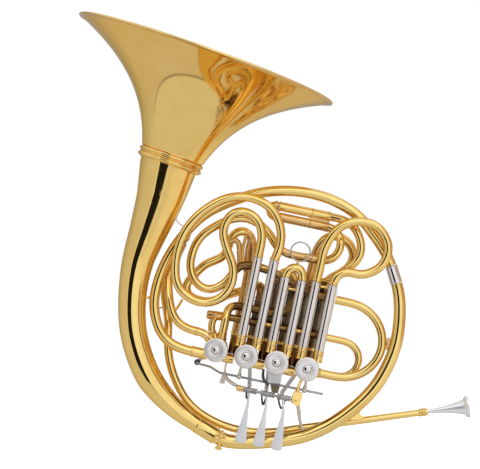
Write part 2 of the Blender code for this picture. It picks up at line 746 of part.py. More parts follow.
def make_f_tuning_slide():
    """The F tuning slide: two level sleeves, and a bow that pulls out to the left."""
    sleeves = []
    for up in TUNING_UPS:
        foot = row_point(TUNING_LEFT, up, TUNING_LAYER)
        profile = sleeve_profile(TUNING_RIGHT - TUNING_LEFT)
        sleeves.append(turned(profile, foot, along_row(), 10, hollow=True))
    tie = rod(row_point(30, TUNING_UPS[0] - 4.9, TUNING_LAYER),
              row_point(30, TUNING_UPS[1] + 4.9, TUNING_LAYER), 2.0, 6)
    node("f_tuning_sleeves", sleeves[0], "lacquered_brass", group="body",
         joined=(tie, sleeves[1]))

    half = (TUNING_UPS[0] - TUNING_UPS[1]) / 2
    middle = TUNING_UPS[1] + half
    start = TUNING_LEFT - 1.0
    arc = [row_point(start - 1.0 - half * math.sin(angle), middle + half * math.cos(angle),
                     TUNING_LAYER) for angle in [math.pi * k / 6 for k in range(7)]]
    node("f_tuning_crook", crook(arc, headings(arc), -along_row(), TUNING_REACH),
         "lacquered_brass", origin=row_point(start, middle, TUNING_LAYER),
         group="f_tuning_slide")


def ellipse_run(centre, half_along, half_up, depth, steps=8):
    """The right half of an ellipse in the valve row's directions, from its top to its foot."""
    points = []
    for k in range(steps + 1):
        angle = math.pi / 2 - math.pi * k / steps
        points.append(row_point(centre[0] + half_along * math.cos(angle),
                                centre[1] + half_up * math.sin(angle), depth))
    return points


def make_f_loop():
    """From the F tuning slide back along the body's middle to the round loop and the right."""
    lower = TUNING_UPS[1]
    down = [row_point(TUNING_RIGHT + GAP, lower, TUNING_LAYER),
            row_point(TUNING_RIGHT + 4, lower, TUNING_LAYER), row_point(55.5, 162.5, 10.5),
            row_point(60.5, 157, 6), row_point(63.6, 149, MID_LAYER)]
    curl = row_points(((63, 140), (58.5, 131), (51, 126.5), (34, 125), (0, 126), (-10, 132),
                       (-22, 145), (-38, 153.5), (-52, 155.3), (-66, 151.5), (-83, 139.5),
                       (-94, 128.5), (-101, 115.5), (-103.5, 99), (-102, 86), (-96, 74.5), (-86.5, 67),
                       (-76.5, 65.5), (-65, 71), (-57, 80), (-51.5, 92), (-45, 100.5), (-34, 103),
                       (-10, 101), (20, 92), (40, 86), (60, 84), (71, 84)), MID_LAYER)
    node("f_loop", curved_tube(down + curl, TUBE_RADIUS, sides=8), "lacquered_brass",
         group="body")


def make_f_bow():
    """The wide bow at the right, from the round loop's end down to the third valve."""
    points = [row_point(71 + GAP, 84, MID_LAYER)]
    points += ellipse_run((88.5, 40.4), 46.0, 43.6, MID_LAYER)
    points += [row_point(valve_along(3) + 17.0 + GAP, -3.2, MID_LAYER)]
    stay = rod(Vector((94.0, 0, 104.0)), Vector((99.7, 0, 104.0)), 2.4, 8)
    node("f_bow", curved_tube(points, 4.9, sides=8), "lacquered_brass", group="body",
         joined=(stay,))


def make_f_return():
    """From the F tuning slide's upper sleeve, round inside the third slide, to the change valve."""
    upper = TUNING_UPS[0]
    start = [row_point(TUNING_RIGHT + GAP, upper, TUNING_LAYER),
             row_point(TUNING_RIGHT + 4, upper, TUNING_LAYER), row_point(60, 177, 9.5),
             row_point(70, 174, 5)]
    bend = row_points(((78.5, 167), (86, 154.5), (88, 140.5), (83, 129), (75.5, 120.5)), MID_LAYER)
    level = [row_point(63, 107, 7)]
    level += row_points(((49, 98.6), (36, 92), (26, 78), (20, 62), (8, 54), (-10, 53.5),
                         (-40, 53.5)), BACK_RUN)
    drop = [row_point(-46, 52, 11), row_point(-49.2, 47.5, 8), row_point(-49.7, 42, 4),
            row_point(-49.7, 32, MID_LAYER), row_point(-49.7, 15.0 + GAP, MID_LAYER)]
    node("f_return", curved_tube(start + bend + level + drop, TUBE_RADIUS, sides=8),
         "lacquered_brass", group="body")


def make_b_flat_loop():
    """From the change valve over its elbow, behind the slides and round to the third valve."""
    elbow = row_points(((-63.3, 19.2), (-64.4, 28), (-60.5, 36), (-53, 38.5), (-30, 38.5),
                        (70, 38.5)), BACK_RUN)
    bow = ellipse_run((91.5, 17.6), 21.0, 20.8, BACK_RUN)
    end = [row_point(valve_along(3) + 17.0 + GAP, -3.2, BACK_RUN)]
    node("b_flat_loop", curved_tube(elbow + bow + end, NARROW_RADIUS, sides=8),
         "lacquered_brass", group="body")


# Keys ------------------------------------------------------------------------------------

def make_key(index):
    """A finger key: a tube on the hinge shaft, a spatula below it and an arm running back."""
    number = index + 1
    along = KEY_ALONG[index]
    shaft = (KEY_SHAFT_UP, KEY_SHAFT_DEPTH)
    hub = rod(row_point(along - 7.5, *shaft), row_point(along + 8.5, *shaft), 3.4, 12)
    bore = rod(row_point(along - 12, *shaft), row_point(along + 12, *shaft), 1.9, 10)
    arm = curved_tube([row_point(along, KEY_SHAFT_UP - 0.5, KEY_SHAFT_DEPTH + 1.5),
                       row_point(along, KEY_SHAFT_UP - 0.5, 0.0),
                       row_point(along, KEY_SHAFT_UP, ARM_BACK)], 1.5, sides=6)
    pin = rod(row_point(along, KEY_SHAFT_UP, ARM_BACK - 1.0),
              row_point(along, KEY_SHAFT_UP, LINK_DEPTH + LINK_THICKNESS + 1.0), 1.1, 8)
    node(f"finger_key_{number}", hub, "nickel_silver", origin=row_point(along, *shaft),
         group=f"key_{number}_turn", joined=(spatula(index), arm, pin), cut=(bore,))


def spatula(index):
    """The touch plate: a narrow stem that widens down to a rounded end, curved in depth."""
    bm = bmesh.new()
    top = SPATULA_ALONG[index]
    thickness = 2.2
    levels = ((0.0, 1.6, 0.0), (0.12, 1.5, -0.8), (0.35, 2.2, -3.0), (0.65, 4.4, -5.6),
              (0.9, 6.3, -7.0), (0.97, 5.9, -7.2), (1.0, 4.2, -7.2))
    rings = []
    for fraction, half, bulge in levels:
        up = KEY_SHAFT_UP - 2.4 - SPATULA_DROP * fraction
        centre = KEY_ALONG[index] + (top - KEY_ALONG[index]) * min(1.0, fraction * 4)
        half *= SPATULA_WIDTH / 12.6
        front = KEY_SHAFT_DEPTH - 1.1 + bulge
        corners = ((-half, front), (half, front), (half, front + thickness),
                   (-half, front + thickness))
        rings.append([bm.verts.new(row_point(centre + a, up, depth)) for a, depth in corners])
    for ring_a, ring_b in zip(rings, rings[1:]):
        bridge(bm, ring_a, ring_b)
    bm.faces.new(rings[0])
    bm.faces.new(rings[-1])
    return bm


def make_link(name, foot, head, group):
    """A flat link: a bar with an eye at its foot for the lever's pin."""
    bar = plate(round_ended(foot, head, 2.3), LINK_THICKNESS, LINK_DEPTH)
    eye = rod(row_point(*foot, LINK_DEPTH - 1), row_point(*foot, LINK_DEPTH + 4), 1.4, 8)
    node(name, bar, "steel", origin=row_point(*foot, LINK_DEPTH), group=group, cut=(eye,))


def make_key_mounting():
    """The hinge shaft of the finger keys, with a post at each end."""
    shaft = (KEY_SHAFT_UP, KEY_SHAFT_DEPTH)
    left, right = -21.0, 50.0
    pin = rod(row_point(left, *shaft), row_point(right, *shaft), 1.6, 10)
    node("key_shaft", pin, "steel", group="body")

    hole = rod(row_point(left - 1, *shaft), row_point(left + 20, *shaft), 1.9, 10)
    knob = rod(row_point(left + 0.2, *shaft), row_point(left + 6.8, *shaft), 3.6, 12)
    stay = curved_tube([row_point(left + 2.6, KEY_SHAFT_UP + 1.5, KEY_SHAFT_DEPTH + 2.2),
                        row_point(left - 2, -28, -21), row_point(left - 6, -20, -16),
                        row_point(left - 8, -13.8, -15)], 1.5, sides=6)
    node("key_post_left", knob, "lacquered_brass", group="body", joined=(stay,), cut=(hole,))

    hole = rod(row_point(right - 12, *shaft), row_point(right + 1, *shaft), 1.9, 10)
    block = rod(row_point(right - 7.2, *shaft), row_point(right - 0.3, *shaft), 4.6, 12)
    stay = curved_tube([row_point(right - 3.6, KEY_SHAFT_UP + 1, KEY_SHAFT_DEPTH + 1.5),
                        row_point(right - 2.6, -28, -24), row_point(right - 1.5, -20, -19),
                        row_point(right, -14.2, -18)], [3.0, 3.0, 2.6, 2.4], sides=6)
    prong = curved_tube([row_point(right - 3.5, KEY_SHAFT_UP - 2, KEY_SHAFT_DEPTH + 0.5),
                         row_point(right + 1.5, -50, -27), row_point(right + 7, -61, -20),
                         row_point(right + 13, -70, -11.4)], [2.8, 2.6, 2.2, 1.8], sides=8)
    node("finger_hook", block, "nickel_silver", group="body", joined=(stay, prong), cut=(hole,))


THUMB_LEFT = -44.0
THUMB_RIGHT = 78.0
THUMB_WIRE_END = -72.0
THUMB_POSTS = {1: -21.0, 3: 56.0}     # valve index, and where its post stands along the row


def make_thumb_lever():
    """The change valve's lever: a long rod, a paddle for the thumb and a wire running back."""
    axis = (THUMB_UP, THUMB_DEPTH)
    spindle = rod(row_point(THUMB_LEFT, *axis), row_point(THUMB_RIGHT, *axis), 1.3, 8)
    run = ((-49, -24.2, -8.5), (-54, -21.6, -4), (-63, -21.6, 4), (-70, -21.8, 12),
           (THUMB_WIRE_END, -22, 24), (THUMB_WIRE_END, -22, ARM_BACK))
    wire = curved_tube([row_point(THUMB_LEFT + 1.0, *axis)] + [row_point(*step) for step in run],
                       1.2, sides=6, turn=math.radians(25))
    pin = rod(row_point(THUMB_WIRE_END, -22, ARM_BACK - 1.0),
              row_point(THUMB_WIRE_END, -22, LINK_DEPTH + LINK_THICKNESS + 1.0), 1.0, 8)
    paddle = bmesh.new()
    rings = []
    for fraction, half in ((0.0, 2.4), (0.25, 3.2), (0.7, 5.6), (0.93, 5.2), (1.0, 3.6)):
        up = THUMB_UP - 0.4 - 13.0 * math.sin(fraction * 1.2)
        depth = THUMB_DEPTH + 1.0 + 34.0 * fraction
        corners = ((-half, up), (half, up), (half, up - 2.0), (-half, up - 2.0))
        rings.append([paddle.verts.new(row_point(-38.5 + a, b, depth)) for a, b in corners])
    for ring_a, ring_b in zip(rings, rings[1:]):
        bridge(paddle, ring_a, ring_b)
    paddle.faces.new(rings[0])
    paddle.faces.new(rings[-1])
    node("thumb_lever", spindle, "nickel_silver", origin=row_point(THUMB_LEFT, *axis),
         group="thumb_turn", joined=(wire, pin, paddle))


def thumb_post(along):
    """A post under a valve, with an eye round the thumb lever's rod: body, then its bore."""
    eye = rod(row_point(along - 2, THUMB_UP, THUMB_DEPTH),
              row_point(along + 2, THUMB_UP, THUMB_DEPTH), 3.0, 10)
    stem = rod(row_point(along, THUMB_UP + 2, THUMB_DEPTH), row_point(along, -10.6, THUMB_DEPTH),
               1.8, 8)
    hole = rod(row_point(along - 4, THUMB_UP, THUMB_DEPTH),
               row_point(along + 4, THUMB_UP, THUMB_DEPTH), 1.6, 8)
    return (stem, eye), hole


# Water key -------------------------------------------------------------------------------

WATER_KEY_PLACE = Vector((-92.0, 0.0, -0.4))   # on the first branch's centre line
WATER_KEY_ALONG = Vector((0.974, 0.0, -0.225))
WATER_KEY_UP = Vector((0.225, 0.0, 0.974))
WATER_KEY_PIVOT = (-13.2, 3.0)                  # (depth, up) from the tube's centre
NIPPLE_TURN = math.radians(20)                  # the nipple leans this far forward
NIPPLE_END = 11.2


def water_key_point(along, depth, up):
    place = WATER_KEY_PLACE + WATER_KEY_ALONG * along + WATER_KEY_UP * up
    return place + Vector((0, depth, 0))


def nipple_axis():
    return (WATER_KEY_UP * -math.cos(NIPPLE_TURN) + Vector((0, -math.sin(NIPPLE_TURN), 0)))


def water_key_seat():
    """The nipple under the tube, and the two lugs that hold the water key's pin."""
    shapes = [turned([(3.0, 6.0), (3.0, 9.6), (2.2, NIPPLE_END)], WATER_KEY_PLACE,
                     nipple_axis(), 10)]
    for side in (-4.2, 4.2):
        shapes.append(rod(water_key_point(side, -6.0, 1.4),
                          water_key_point(side, WATER_KEY_PIVOT[0] + 1.2, 2.8), 1.4, 8))
    return shapes


def make_water_key():
    """The spit valve: a sprung lever that holds its corked cup against the nipple."""
    pivot = water_key_point(0, *WATER_KEY_PIVOT)
    hub = rod(water_key_point(-2.5, *WATER_KEY_PIVOT), water_key_point(2.5, *WATER_KEY_PIVOT),
              2.1, 10)
    cup_place = WATER_KEY_PLACE + nipple_axis() * (NIPPLE_END + GAP)
    cup = turned([(3.4, 0.0), (4.4, 0.8), (4.2, 2.4), (2.4, 3.6)], cup_place, nipple_axis(), 12)
    arm = curved_tube([pivot, water_key_point(0, -11.8, -6), water_key_point(0, -7.2, -12.6)],
                      1.3, sides=6)
    touch = curved_tube([pivot, water_key_point(0, -14.6, 6), water_key_point(0, -14.2, 10)],
                        [1.5, 2.6, 2.2], sides=8)
    node("water_key", hub, "nickel_silver", origin=pivot, group="water_key_turn",
         joined=(cup, arm, touch))


def main():
    for obj in list(bpy.data.objects):
        bpy.data.objects.remove(obj)
    make_bell_flare()
    make_screw_ring()
    make_bell_tail()
    make_body_tubes()
    make_mouthpipe()
    make_main_slide()
    make_neck_tube()
    for index in range(VALVE_COUNT):
        make_valve(index)
        make_stop_arm(index)
    for index in (1, 2, 3):
        make_valve_slide(index, back=False)
        make_valve_slide(index, back=True)
    make_f_tuning_slide()
    make_f_loop()
    make_f_bow()
    make_f_return()
    make_b_flat_loop()
    for index in range(3):
        make_key(index)
        foot = (KEY_ALONG[index], KEY_SHAFT_UP)
        make_link(f"key_link_{index + 1}", foot, stop_pin(index + 1), f"link_{index + 1}_turn")
    make_link("thumb_link", (THUMB_WIRE_END, -22.0), stop_pin(0), "thumb_link_turn")
    make_key_mounting()
    make_thumb_lever()
    make_water_key()


main()
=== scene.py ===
"""The double french horn as it looks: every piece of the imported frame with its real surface.

Sizes here are millimetres in the frame's own axes, and MM turns them into metres. Tubes near the
valves are placed in the valve row's directions, "along" it and "up" its slides, as in the frame.
"""
import math

import bmesh
import bpy
import numpy as np
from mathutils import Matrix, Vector


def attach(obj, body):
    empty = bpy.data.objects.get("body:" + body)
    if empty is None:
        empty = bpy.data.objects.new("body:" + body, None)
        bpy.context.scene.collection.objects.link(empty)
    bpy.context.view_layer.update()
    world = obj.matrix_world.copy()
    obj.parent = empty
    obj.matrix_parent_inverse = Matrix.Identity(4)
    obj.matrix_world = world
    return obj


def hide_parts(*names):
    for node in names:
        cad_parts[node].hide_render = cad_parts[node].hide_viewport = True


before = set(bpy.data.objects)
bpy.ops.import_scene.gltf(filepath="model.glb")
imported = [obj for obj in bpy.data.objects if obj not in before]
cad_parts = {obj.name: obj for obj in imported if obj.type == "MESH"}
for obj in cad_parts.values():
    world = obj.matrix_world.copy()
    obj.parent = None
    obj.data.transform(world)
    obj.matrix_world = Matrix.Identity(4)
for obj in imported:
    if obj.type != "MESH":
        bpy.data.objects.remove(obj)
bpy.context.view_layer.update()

MM = 0.001
Y = Vector((0, 1, 0))

# The valve row and the layers of tubes, as in the frame -----------------------------------

ROW_TILT = math.radians(11.8)
ROW_CENTRE = Vector((-45.0, 0.0, 91.3))
VALVE_PITCH = 35.7
FRONT_LAYER = -16.0
MID_LAYER = 2.0
BACK_RUN = 13.0
BACK_LAYER = 24.0
TUNING_LAYER = 12.0
LEG_SPREAD = 9.6
BACK_SHIFT = -7.0
KNUCKLE_TOP = 18.5
PORT_UP = -3.2                # the last valve's two ports to the bows
PORT_REACH = 17.0
CASING_RADIUS = 13.2
CASING_FRONT = -22.0
CASING_BACK = 32.0
CAP_RADIUS = 13.9
CAP_FRONT = -28.0
SLEEVE_OUTER = 5.4
SLEEVE_INNER = 4.5
LEG_RADIUS = 4.2
CROOK_RADIUS = 5.1
TUBE_RADIUS = 4.8
NARROW_RADIUS = 4.2

RIM_CENTRE = Vector((-109.0, 0.0, 437.9))
BELL_TILT = math.radians(19.5)
RIM_RADIUS = 155.6
FLARE_BASE = 20.0
FLARE_DECAY = 57.0
FLARE_DEPTH = 117.0
BEAD_RADIUS = 1.5
SHEET = 0.9
COLLAR_RADIUS = 38.6
COLLAR_LENGTH = 6.2
GAP = 0.3                     # left between pieces that meet end to end
TINY = 0.001                  # the radius of a turned profile's end where it closes on the axis

ALONG = Vector((math.cos(ROW_TILT), 0.0, -math.sin(ROW_TILT)))
UP = Vector((math.sin(ROW_TILT), 0.0, math.cos(ROW_TILT)))
BELL_AXIS = Vector((math.sin(BELL_TILT), 0.0, math.cos(BELL_TILT)))


def row(along, up, depth):
    place = ROW_CENTRE + ALONG * along + UP * up
    return flat(place.x, place.z, depth)


def rows(*places):
    return [row(*place) for place in places]


def row_line(pairs, depth):
    return [row(along, up, depth) for along, up in pairs]


def flat(x, z, depth=0.0):
    return Vector((x, depth, z))


def flat_line(pairs, depth=0.0):
    return [flat(x, z, depth) for x, z in pairs]


def valve_along(index):
    return (index - 1.5) * VALVE_PITCH


def bell_point(depth):
    return RIM_CENTRE - BELL_AXIS * depth


# Curves -------------------------------------------------------------------------------------

def catmull_rom(p0, p1, p2, p3, fraction):
    """A point between p1 and p2 on the centripetal curve through four points."""
    t1 = math.sqrt((p1 - p0).length)
    t2 = t1 + math.sqrt((p2 - p1).length)
    t3 = t2 + math.sqrt((p3 - p2).length)
    t = t1 + (t2 - t1) * fraction
    a1 = p0.lerp(p1, t / t1)
    a2 = p1.lerp(p2, (t - t1) / (t2 - t1))
    a3 = p2.lerp(p3, (t - t2) / (t3 - t2))
    b1 = a1.lerp(a2, t / t2)
    b2 = a2.lerp(a3, (t - t1) / (t3 - t1))
    return b1.lerp(b2, (t - t1) / (t2 - t1))


def smooth(points, values, steps=16):
    before = points[0] * 2 - points[1]
    after = points[-1] * 2 - points[-2]
    chain = [before, *points, after]
    path, picked = [], []
    for i in range(len(points) - 1):
        for k in range(steps):
            path.append(catmull_rom(*chain[i:i + 4], k / steps))
            picked.append(values[i] + (values[i + 1] - values[i]) * k / steps)
    path.append(points[-1])
    picked.append(values[-1])
    return path, picked


def relaxed(path, rounds=10):
    """The same path with its small kinks in curvature evened out; its ends stay."""
    line = np.array([tuple(p) for p in path])
    for _ in range(rounds):
        line[1:-1] = 0.25 * line[:-2] + 0.5 * line[1:-1] + 0.25 * line[2:]
    return [Vector(p) for p in line]


def evenly(path, values, spacing):
    """The path resampled at even lengths."""
    line = np.array([tuple(p) for p in path])
    lengths = np.concatenate(([0], np.cumsum(np.linalg.norm(np.diff(line, axis=0), axis=1))))
    count = max(2, int(round(lengths[-1] / spacing)) + 1)
    marks = np.linspace(0, lengths[-1], count)
    new = np.column_stack([np.interp(marks, lengths, line[:, k]) for k in range(3)])
    return [Vector(p) for p in new], list(np.interp(marks, lengths, values))


def headings(path):
    last = len(path) - 1
    return [(path[min(i + 1, last)] - path[max(i - 1, 0)]).normalized() for i in range(last + 1)]


# Meshes -------------------------------------------------------------------------------------

class Shape:
    """Closed meshes gathered into one piece, with a material for each of them."""

    def __init__(self):
        self.points = []
        self.faces = []
        self.looks = []
        self.count = 0

    def add(self, points, faces, look):
        base = self.count
        self.points.append(np.asarray(points, float))
        self.faces += [tuple(base + i for i in face) for face in faces]
        self.looks += [look] * len(faces)
        self.count += len(points)


def grid_faces(rows, columns, closed):
    """Quads over rows of points that run round: the last row joins the first when closed."""
    faces = []
    for r in range(rows if closed else rows - 1):
        s = (r + 1) % rows
        for k in range(columns):
            m = (k + 1) % columns
            faces.append((r * columns + k, r * columns + m, s * columns + m, s * columns + k))
    return faces


def capped_faces(rows, columns):
    """The faces over rows of points, with a flat face over each end."""
    faces = grid_faces(rows, columns, closed=False)
    first, last = tuple(range(columns)), tuple(range((rows - 1) * columns, rows * columns))
    return faces + [first[::-1], last]


def solid(profile):
    """The profile closed onto its axis at both ends."""
    return [(TINY, profile[0][1]), *profile, (TINY, profile[-1][1])]


def relabel(shape, look, chosen):
    """Give a look to the faces that chosen(look, middle) picks."""
    points = np.concatenate(shape.points)
    for k, face in enumerate(shape.faces):
        if chosen(shape.looks[k], points[list(face)].mean(axis=0)):
            shape.looks[k] = look


def tube(shape, path, radii, look, sides=28, wall=None, start=None, end=None):
    """A round tube along a path. Its ends are closed, or open on a bore when it has a wall."""
    tangents = headings(path)
    if start is not None:
        tangents[0] = start
    if end is not None:
        tangents[-1] = end
    reference = Y if abs(tangents[0].y) < 0.9 else flat(1, 0)
    normal = (reference - tangents[0] * reference.dot(tangents[0])).normalized()
    frames = []
    for tangent in tangents:
        normal = (normal - tangent * normal.dot(tangent)).normalized()
        frames.append((normal.copy(), tangent.cross(normal)))
    angles = np.arange(sides) * 2 * math.pi / sides

    def rings(sizes):
        out = []
        for place, (n, s), size in zip(path, frames, sizes):
            ring = np.outer(np.cos(angles), n) + np.outer(np.sin(angles), s)
            out.append(np.array(place) + ring * size)
        return np.concatenate(out)

    outer = rings(radii)
    rows = len(path)
    if wall is None:
        shape.add(outer, capped_faces(rows, sides), look)
        return
    inner = rings([size - wall for size in radii])
    inner = inner.reshape(rows, sides, 3)[::-1].reshape(-1, 3)
    shape.add(np.concatenate((outer, inner)), grid_faces(2 * rows, sides, True), look)


def curve(shape, points, radii, look, spacing=2.0, **more):
    """A tube on the smooth curve through the points, with a radius at each."""
    if not isinstance(radii, (list, tuple)):
        radii = [radii] * len(points)
    path, values = smooth(points, radii)
    path, values = evenly(path, values, spacing)
    ends = {"start": (points[1] - points[0]).normalized(),
            "end": (points[-1] - points[-2]).normalized()}
    path = relaxed(path)
    tube(shape, path, values, look, **{**ends, **more})
    return path


def filleted(profile, radius, closed, steps=3):
    """The profile with its corners rounded by small arcs."""
    out = []
    count = len(profile)
    for i, corner in enumerate(profile):
        if not closed and i in (0, count - 1):
            out.append(corner)
            continue
        here = np.array(corner, float)
        before = np.array(profile[i - 1], float) - here
        after = np.array(profile[(i + 1) % count], float) - here
        lengths = np.linalg.norm(before), np.linalg.norm(after)
        if min(lengths) < 1e-6:
            continue
        cut = min(radius, 0.45 * lengths[0], 0.45 * lengths[1])
        a = here + before / lengths[0] * cut
        b = here + after / lengths[1] * cut
        for k in range(steps + 1):
            t = k / steps
            out.append(tuple((1 - t) ** 2 * a + 2 * t * (1 - t) * here + t * t * b))
    return out


def turned(shape, profile, base, axis, look, sides=40, fillet=0.25, ripple=None):
    """A turned piece from (radius, height) pairs: a ring when both ends are off the axis.
    ripple = (count, depth, low, high) cuts grooves up its outside between two heights."""
    closed = min(profile[0][0], profile[-1][0]) > TINY
    if fillet:
        profile = filleted(profile, fillet, closed)
    axis = axis.normalized()
    side = (Y - axis * Y.dot(axis))
    side = side.normalized() if side.length > 0.3 else axis.orthogonal().normalized()
    other = axis.cross(side)
    if ripple:
        sides = ripple[0] * 4
    angles = np.arange(sides) * 2 * math.pi / sides
    ring = np.outer(np.cos(angles), side) + np.outer(np.sin(angles), other)
    points = []
    for radius, height in profile:
        sizes = np.full(sides, radius)
        if ripple and ripple[2] <= height <= ripple[3]:
            sizes = radius - ripple[1] * (0.5 + 0.5 * np.cos(angles * ripple[0]))
        points.append(np.array(base + axis * height) + ring * sizes[:, None])
    rows = len(profile)
    faces = grid_faces(rows, sides, True) if closed else capped_faces(rows, sides)
    shape.add(np.concatenate(points), faces, look)


def rod(shape, start, end, radius, look, sides=16, fillet=0.2):
    length = (end - start).length
    turned(shape, solid([(radius, 0), (radius, length)]), start, end - start, look, sides,
           fillet=fillet)


def ring(shape, centre, axis, major, minor, look, turns=40, sides=12):
    """A wire ring."""
    profile = [(major + minor * math.cos(2 * math.pi * k / sides),
                minor * math.sin(2 * math.pi * k / sides)) for k in range(sides)]
    turned(shape, profile, centre, axis, look, turns, fillet=0)


def band(shape, centre, axis, radius, length, look, rise=0.55):
    """A ferrule with a raised bead at each end, centred on a tube."""
    half = length / 2
    bead = min(0.5, length * 0.22)
    r0, r1 = radius + rise * 0.45, radius + rise
    inner = radius - 0.4
    profile = [(inner, -half), (r1, -half), (r1, -half + bead * 1.6), (r0, -half + bead * 2.2),
               (r0, half - bead * 2.2), (r1, half - bead * 1.6), (r1, half), (inner, half)]
    turned(shape, profile, centre, axis, look, 36, fillet=bead * 0.8)


def brace(shape, start, end, radius, look, foot=2.2):
    """A small stay with flared feet, as soldered between two tubes."""
    length = (end - start).length
    lip = min(foot, length * 0.3)
    half = [(2.1, 0.0), (1.9, 0.35), (1.15, lip * 0.6), (1.0, lip)]
    profile = [(radius * share, height) for share, height in half]
    profile += [(radius * 0.9, length / 2)]
    profile += [(radius * share, length - height) for share, height in half[::-1]]
    turned(shape, solid(profile), start, end - start, look, 16, fillet=0.3)


def ball(shape, centre, radius, look, axis=Y):
    profile = [(max(TINY, radius * math.sin(math.pi * k / 10)),
                -radius * math.cos(math.pi * k / 10)) for k in range(11)]
    turned(shape, profile, centre, axis, look, 20, fillet=0)


def screw(shape, centre, axis, radius, look, height=0.9):
    """A domed, slotted screw head."""
    axis = axis.normalized()
    side = axis.orthogonal().normalized()
    other = axis.cross(side)
    columns = 20
    points = []
    for scale, rise in ((1.0, 0.0), (1.0, 0.45), (0.86, 0.8), (0.5, 1.0), (0.0, 1.0)):
        for k in range(columns):
            angle = 2 * math.pi * k / columns
            x, y = radius * scale * math.cos(angle), radius * scale * math.sin(angle)
            points.append(tuple(centre + side * x + other * y + axis * (height * rise)))
    shape.add(points, capped_faces(5, columns), look)
    top = centre + axis * (height + 0.02)
    half_length, half_width = radius * 0.8, radius * 0.16
    corners = [top + side * (sx * half_length) + other * (sy * half_width) + axis * sz
               for sz in (-0.12, 0.04) for sx, sy in ((-1, -1), (1, -1), (1, 1), (-1, 1))]
    # the slot is a near-black block: painted shade in its recess
    shape.add([tuple(p) for p in corners],
              [(3, 2, 1, 0), (4, 5, 6, 7), (0, 1, 5, 4), (1, 2, 6, 5), (2, 3, 7, 6), (3, 0, 4, 7)],
              "shadow")


def slab(shape, outline, front, thickness, look, bevel=0.35):
    """A flat plate with bevelled edges: an outline in (along, up), thick in depth."""
    line = np.array(outline, float)
    area = 0.5 * np.sum(line[:, 0] * np.roll(line[:, 1], -1) - np.roll(line[:, 0], -1) * line[:, 1])
    if area < 0:
        line = line[::-1]
    before = line - np.roll(line, 1, axis=0)
    after = np.roll(line, -1, axis=0) - line

    def unit(v):
        return v / np.maximum(np.linalg.norm(v, axis=1, keepdims=True), 1e-9)

    outward = unit(np.column_stack((unit(before)[:, 1], -unit(before)[:, 0]))
                   + np.column_stack((unit(after)[:, 1], -unit(after)[:, 0])))
    rows = ((-bevel, 0.0), (0.0, bevel), (0.0, thickness - bevel), (-bevel, thickness))
    points = []
    for grow, depth in rows:
        for (a, b), (oa, ob) in zip(line, outward):
            points.append(tuple(row(a + oa * grow, b + ob * grow, front + depth)))
    shape.add(points, [face[::-1] for face in capped_faces(len(rows), len(line))], look)


def bar_outline(start, end, radius_start, radius_end, steps=10):
    """The outline of a flat bar with a round end at each point."""
    run = np.array(end, float) - np.array(start, float)
    heading = math.atan2(run[1], run[0])
    outline = []
    for centre, turn, radius in ((end, -0.5, radius_end), (start, 0.5, radius_start)):
        for k in range(steps + 1):
            angle = heading + turn * math.pi + math.pi * k / steps
            outline.append((centre[0] + radius * math.cos(angle),
                            centre[1] + radius * math.sin(angle)))
    return outline


# Materials ----------------------------------------------------------------------------------

def fill(tree, node, inputs):
    """Set a node's inputs, by name or number: another node's output is linked."""
    for name, value in inputs.items():
        if isinstance(value, bpy.types.NodeSocket):
            tree.links.new(value, node.inputs[name])
        elif value is not None:
            node.inputs[name].default_value = value


def add_node(tree, kind, inputs=None, **settings):
    made = tree.nodes.new("ShaderNode" + kind)
    for name, value in settings.items():
        setattr(made, name, value)
    fill(tree, made, inputs or {})
    return made


def socket_mix(tree, low, high, factor, kind="RGBA"):
    """A mix of two colours, or of two numbers when kind is FLOAT."""
    made = add_node(tree, "Mix", data_type=kind)
    suffix = "Color" if kind == "RGBA" else "Float"
    order = {socket.identifier: k for k, socket in enumerate(made.inputs)}
    fill(tree, made, {order["A_" + suffix]: low, order["B_" + suffix]: high,
                      order["Factor_Float"]: factor})
    return next(s for s in made.outputs if s.identifier == "Result_" + suffix)


def noise(tree, scale, detail=3.0, stretch=None):
    place = add_node(tree, "TexCoord").outputs["Object"]
    if stretch:
        place = add_node(tree, "Mapping", {"Vector": place, "Scale": stretch}).outputs["Vector"]
    return add_node(tree, "TexNoise",
                    {"Vector": place, "Scale": scale, "Detail": detail}).outputs["Fac"]


def narrowed(tree, value, low, high, **settings):
    """The value stretched so that low gives 0 and high gives 1."""
    return add_node(tree, "MapRange", {"Value": value, "From Min": low, "From Max": high},
                    **settings).outputs["Result"]


def bump(tree, height, distance, strength=1.0, under=None):
    return add_node(tree, "Bump", {"Height": height, "Distance": distance, "Strength": strength,
                                   "Normal": under}).outputs["Normal"]


def new_material(name):
    made = bpy.data.materials.new(name)
    made.use_nodes = True
    return made, made.node_tree, made.node_tree.nodes["Principled BSDF"]


def metal(name, low, high, rough, wave=0.00004, scratch=0.15, coat=0.0, edge=(1.0, 1.0, 1.0)):
    """Polished metal: patchy colour and gloss, slow waves left by bending and buffing, and
    hairlines."""
    made, tree, shader = new_material(name)
    patches = narrowed(tree, noise(tree, 38.0), 0.35, 0.65)
    haze = narrowed(tree, noise(tree, 90.0, 5.0), 0.3, 0.75)
    waves = bump(tree, noise(tree, 28.0, 1.0), wave)
    hairs = noise(tree, 900.0, 2.0, stretch=(1.0, 0.12, 1.0))
    fill(tree, shader, {
        "Metallic": 1.0, "Coat Weight": coat, "Coat Roughness": 0.06,
        "Specular Tint": (*edge, 1.0),
        "Base Color": socket_mix(tree, (*low, 1), (*high, 1), patches),
        "Roughness": socket_mix(tree, *rough, haze, "FLOAT"),
        "Normal": bump(tree, hairs, 0.00001, scratch, waves)})
    return made


def plain(name, low, high, rough):
    """A dull material, such as cork or rubber, with its grain."""
    made, tree, shader = new_material(name)
    grain = narrowed(tree, noise(tree, 300.0, 6.0), 0.3, 0.7)
    fill(tree, shader, {"Base Color": socket_mix(tree, (*low, 1), (*high, 1), grain),
                        "Roughness": rough, "Normal": bump(tree, grain, 0.00008)})
    return made


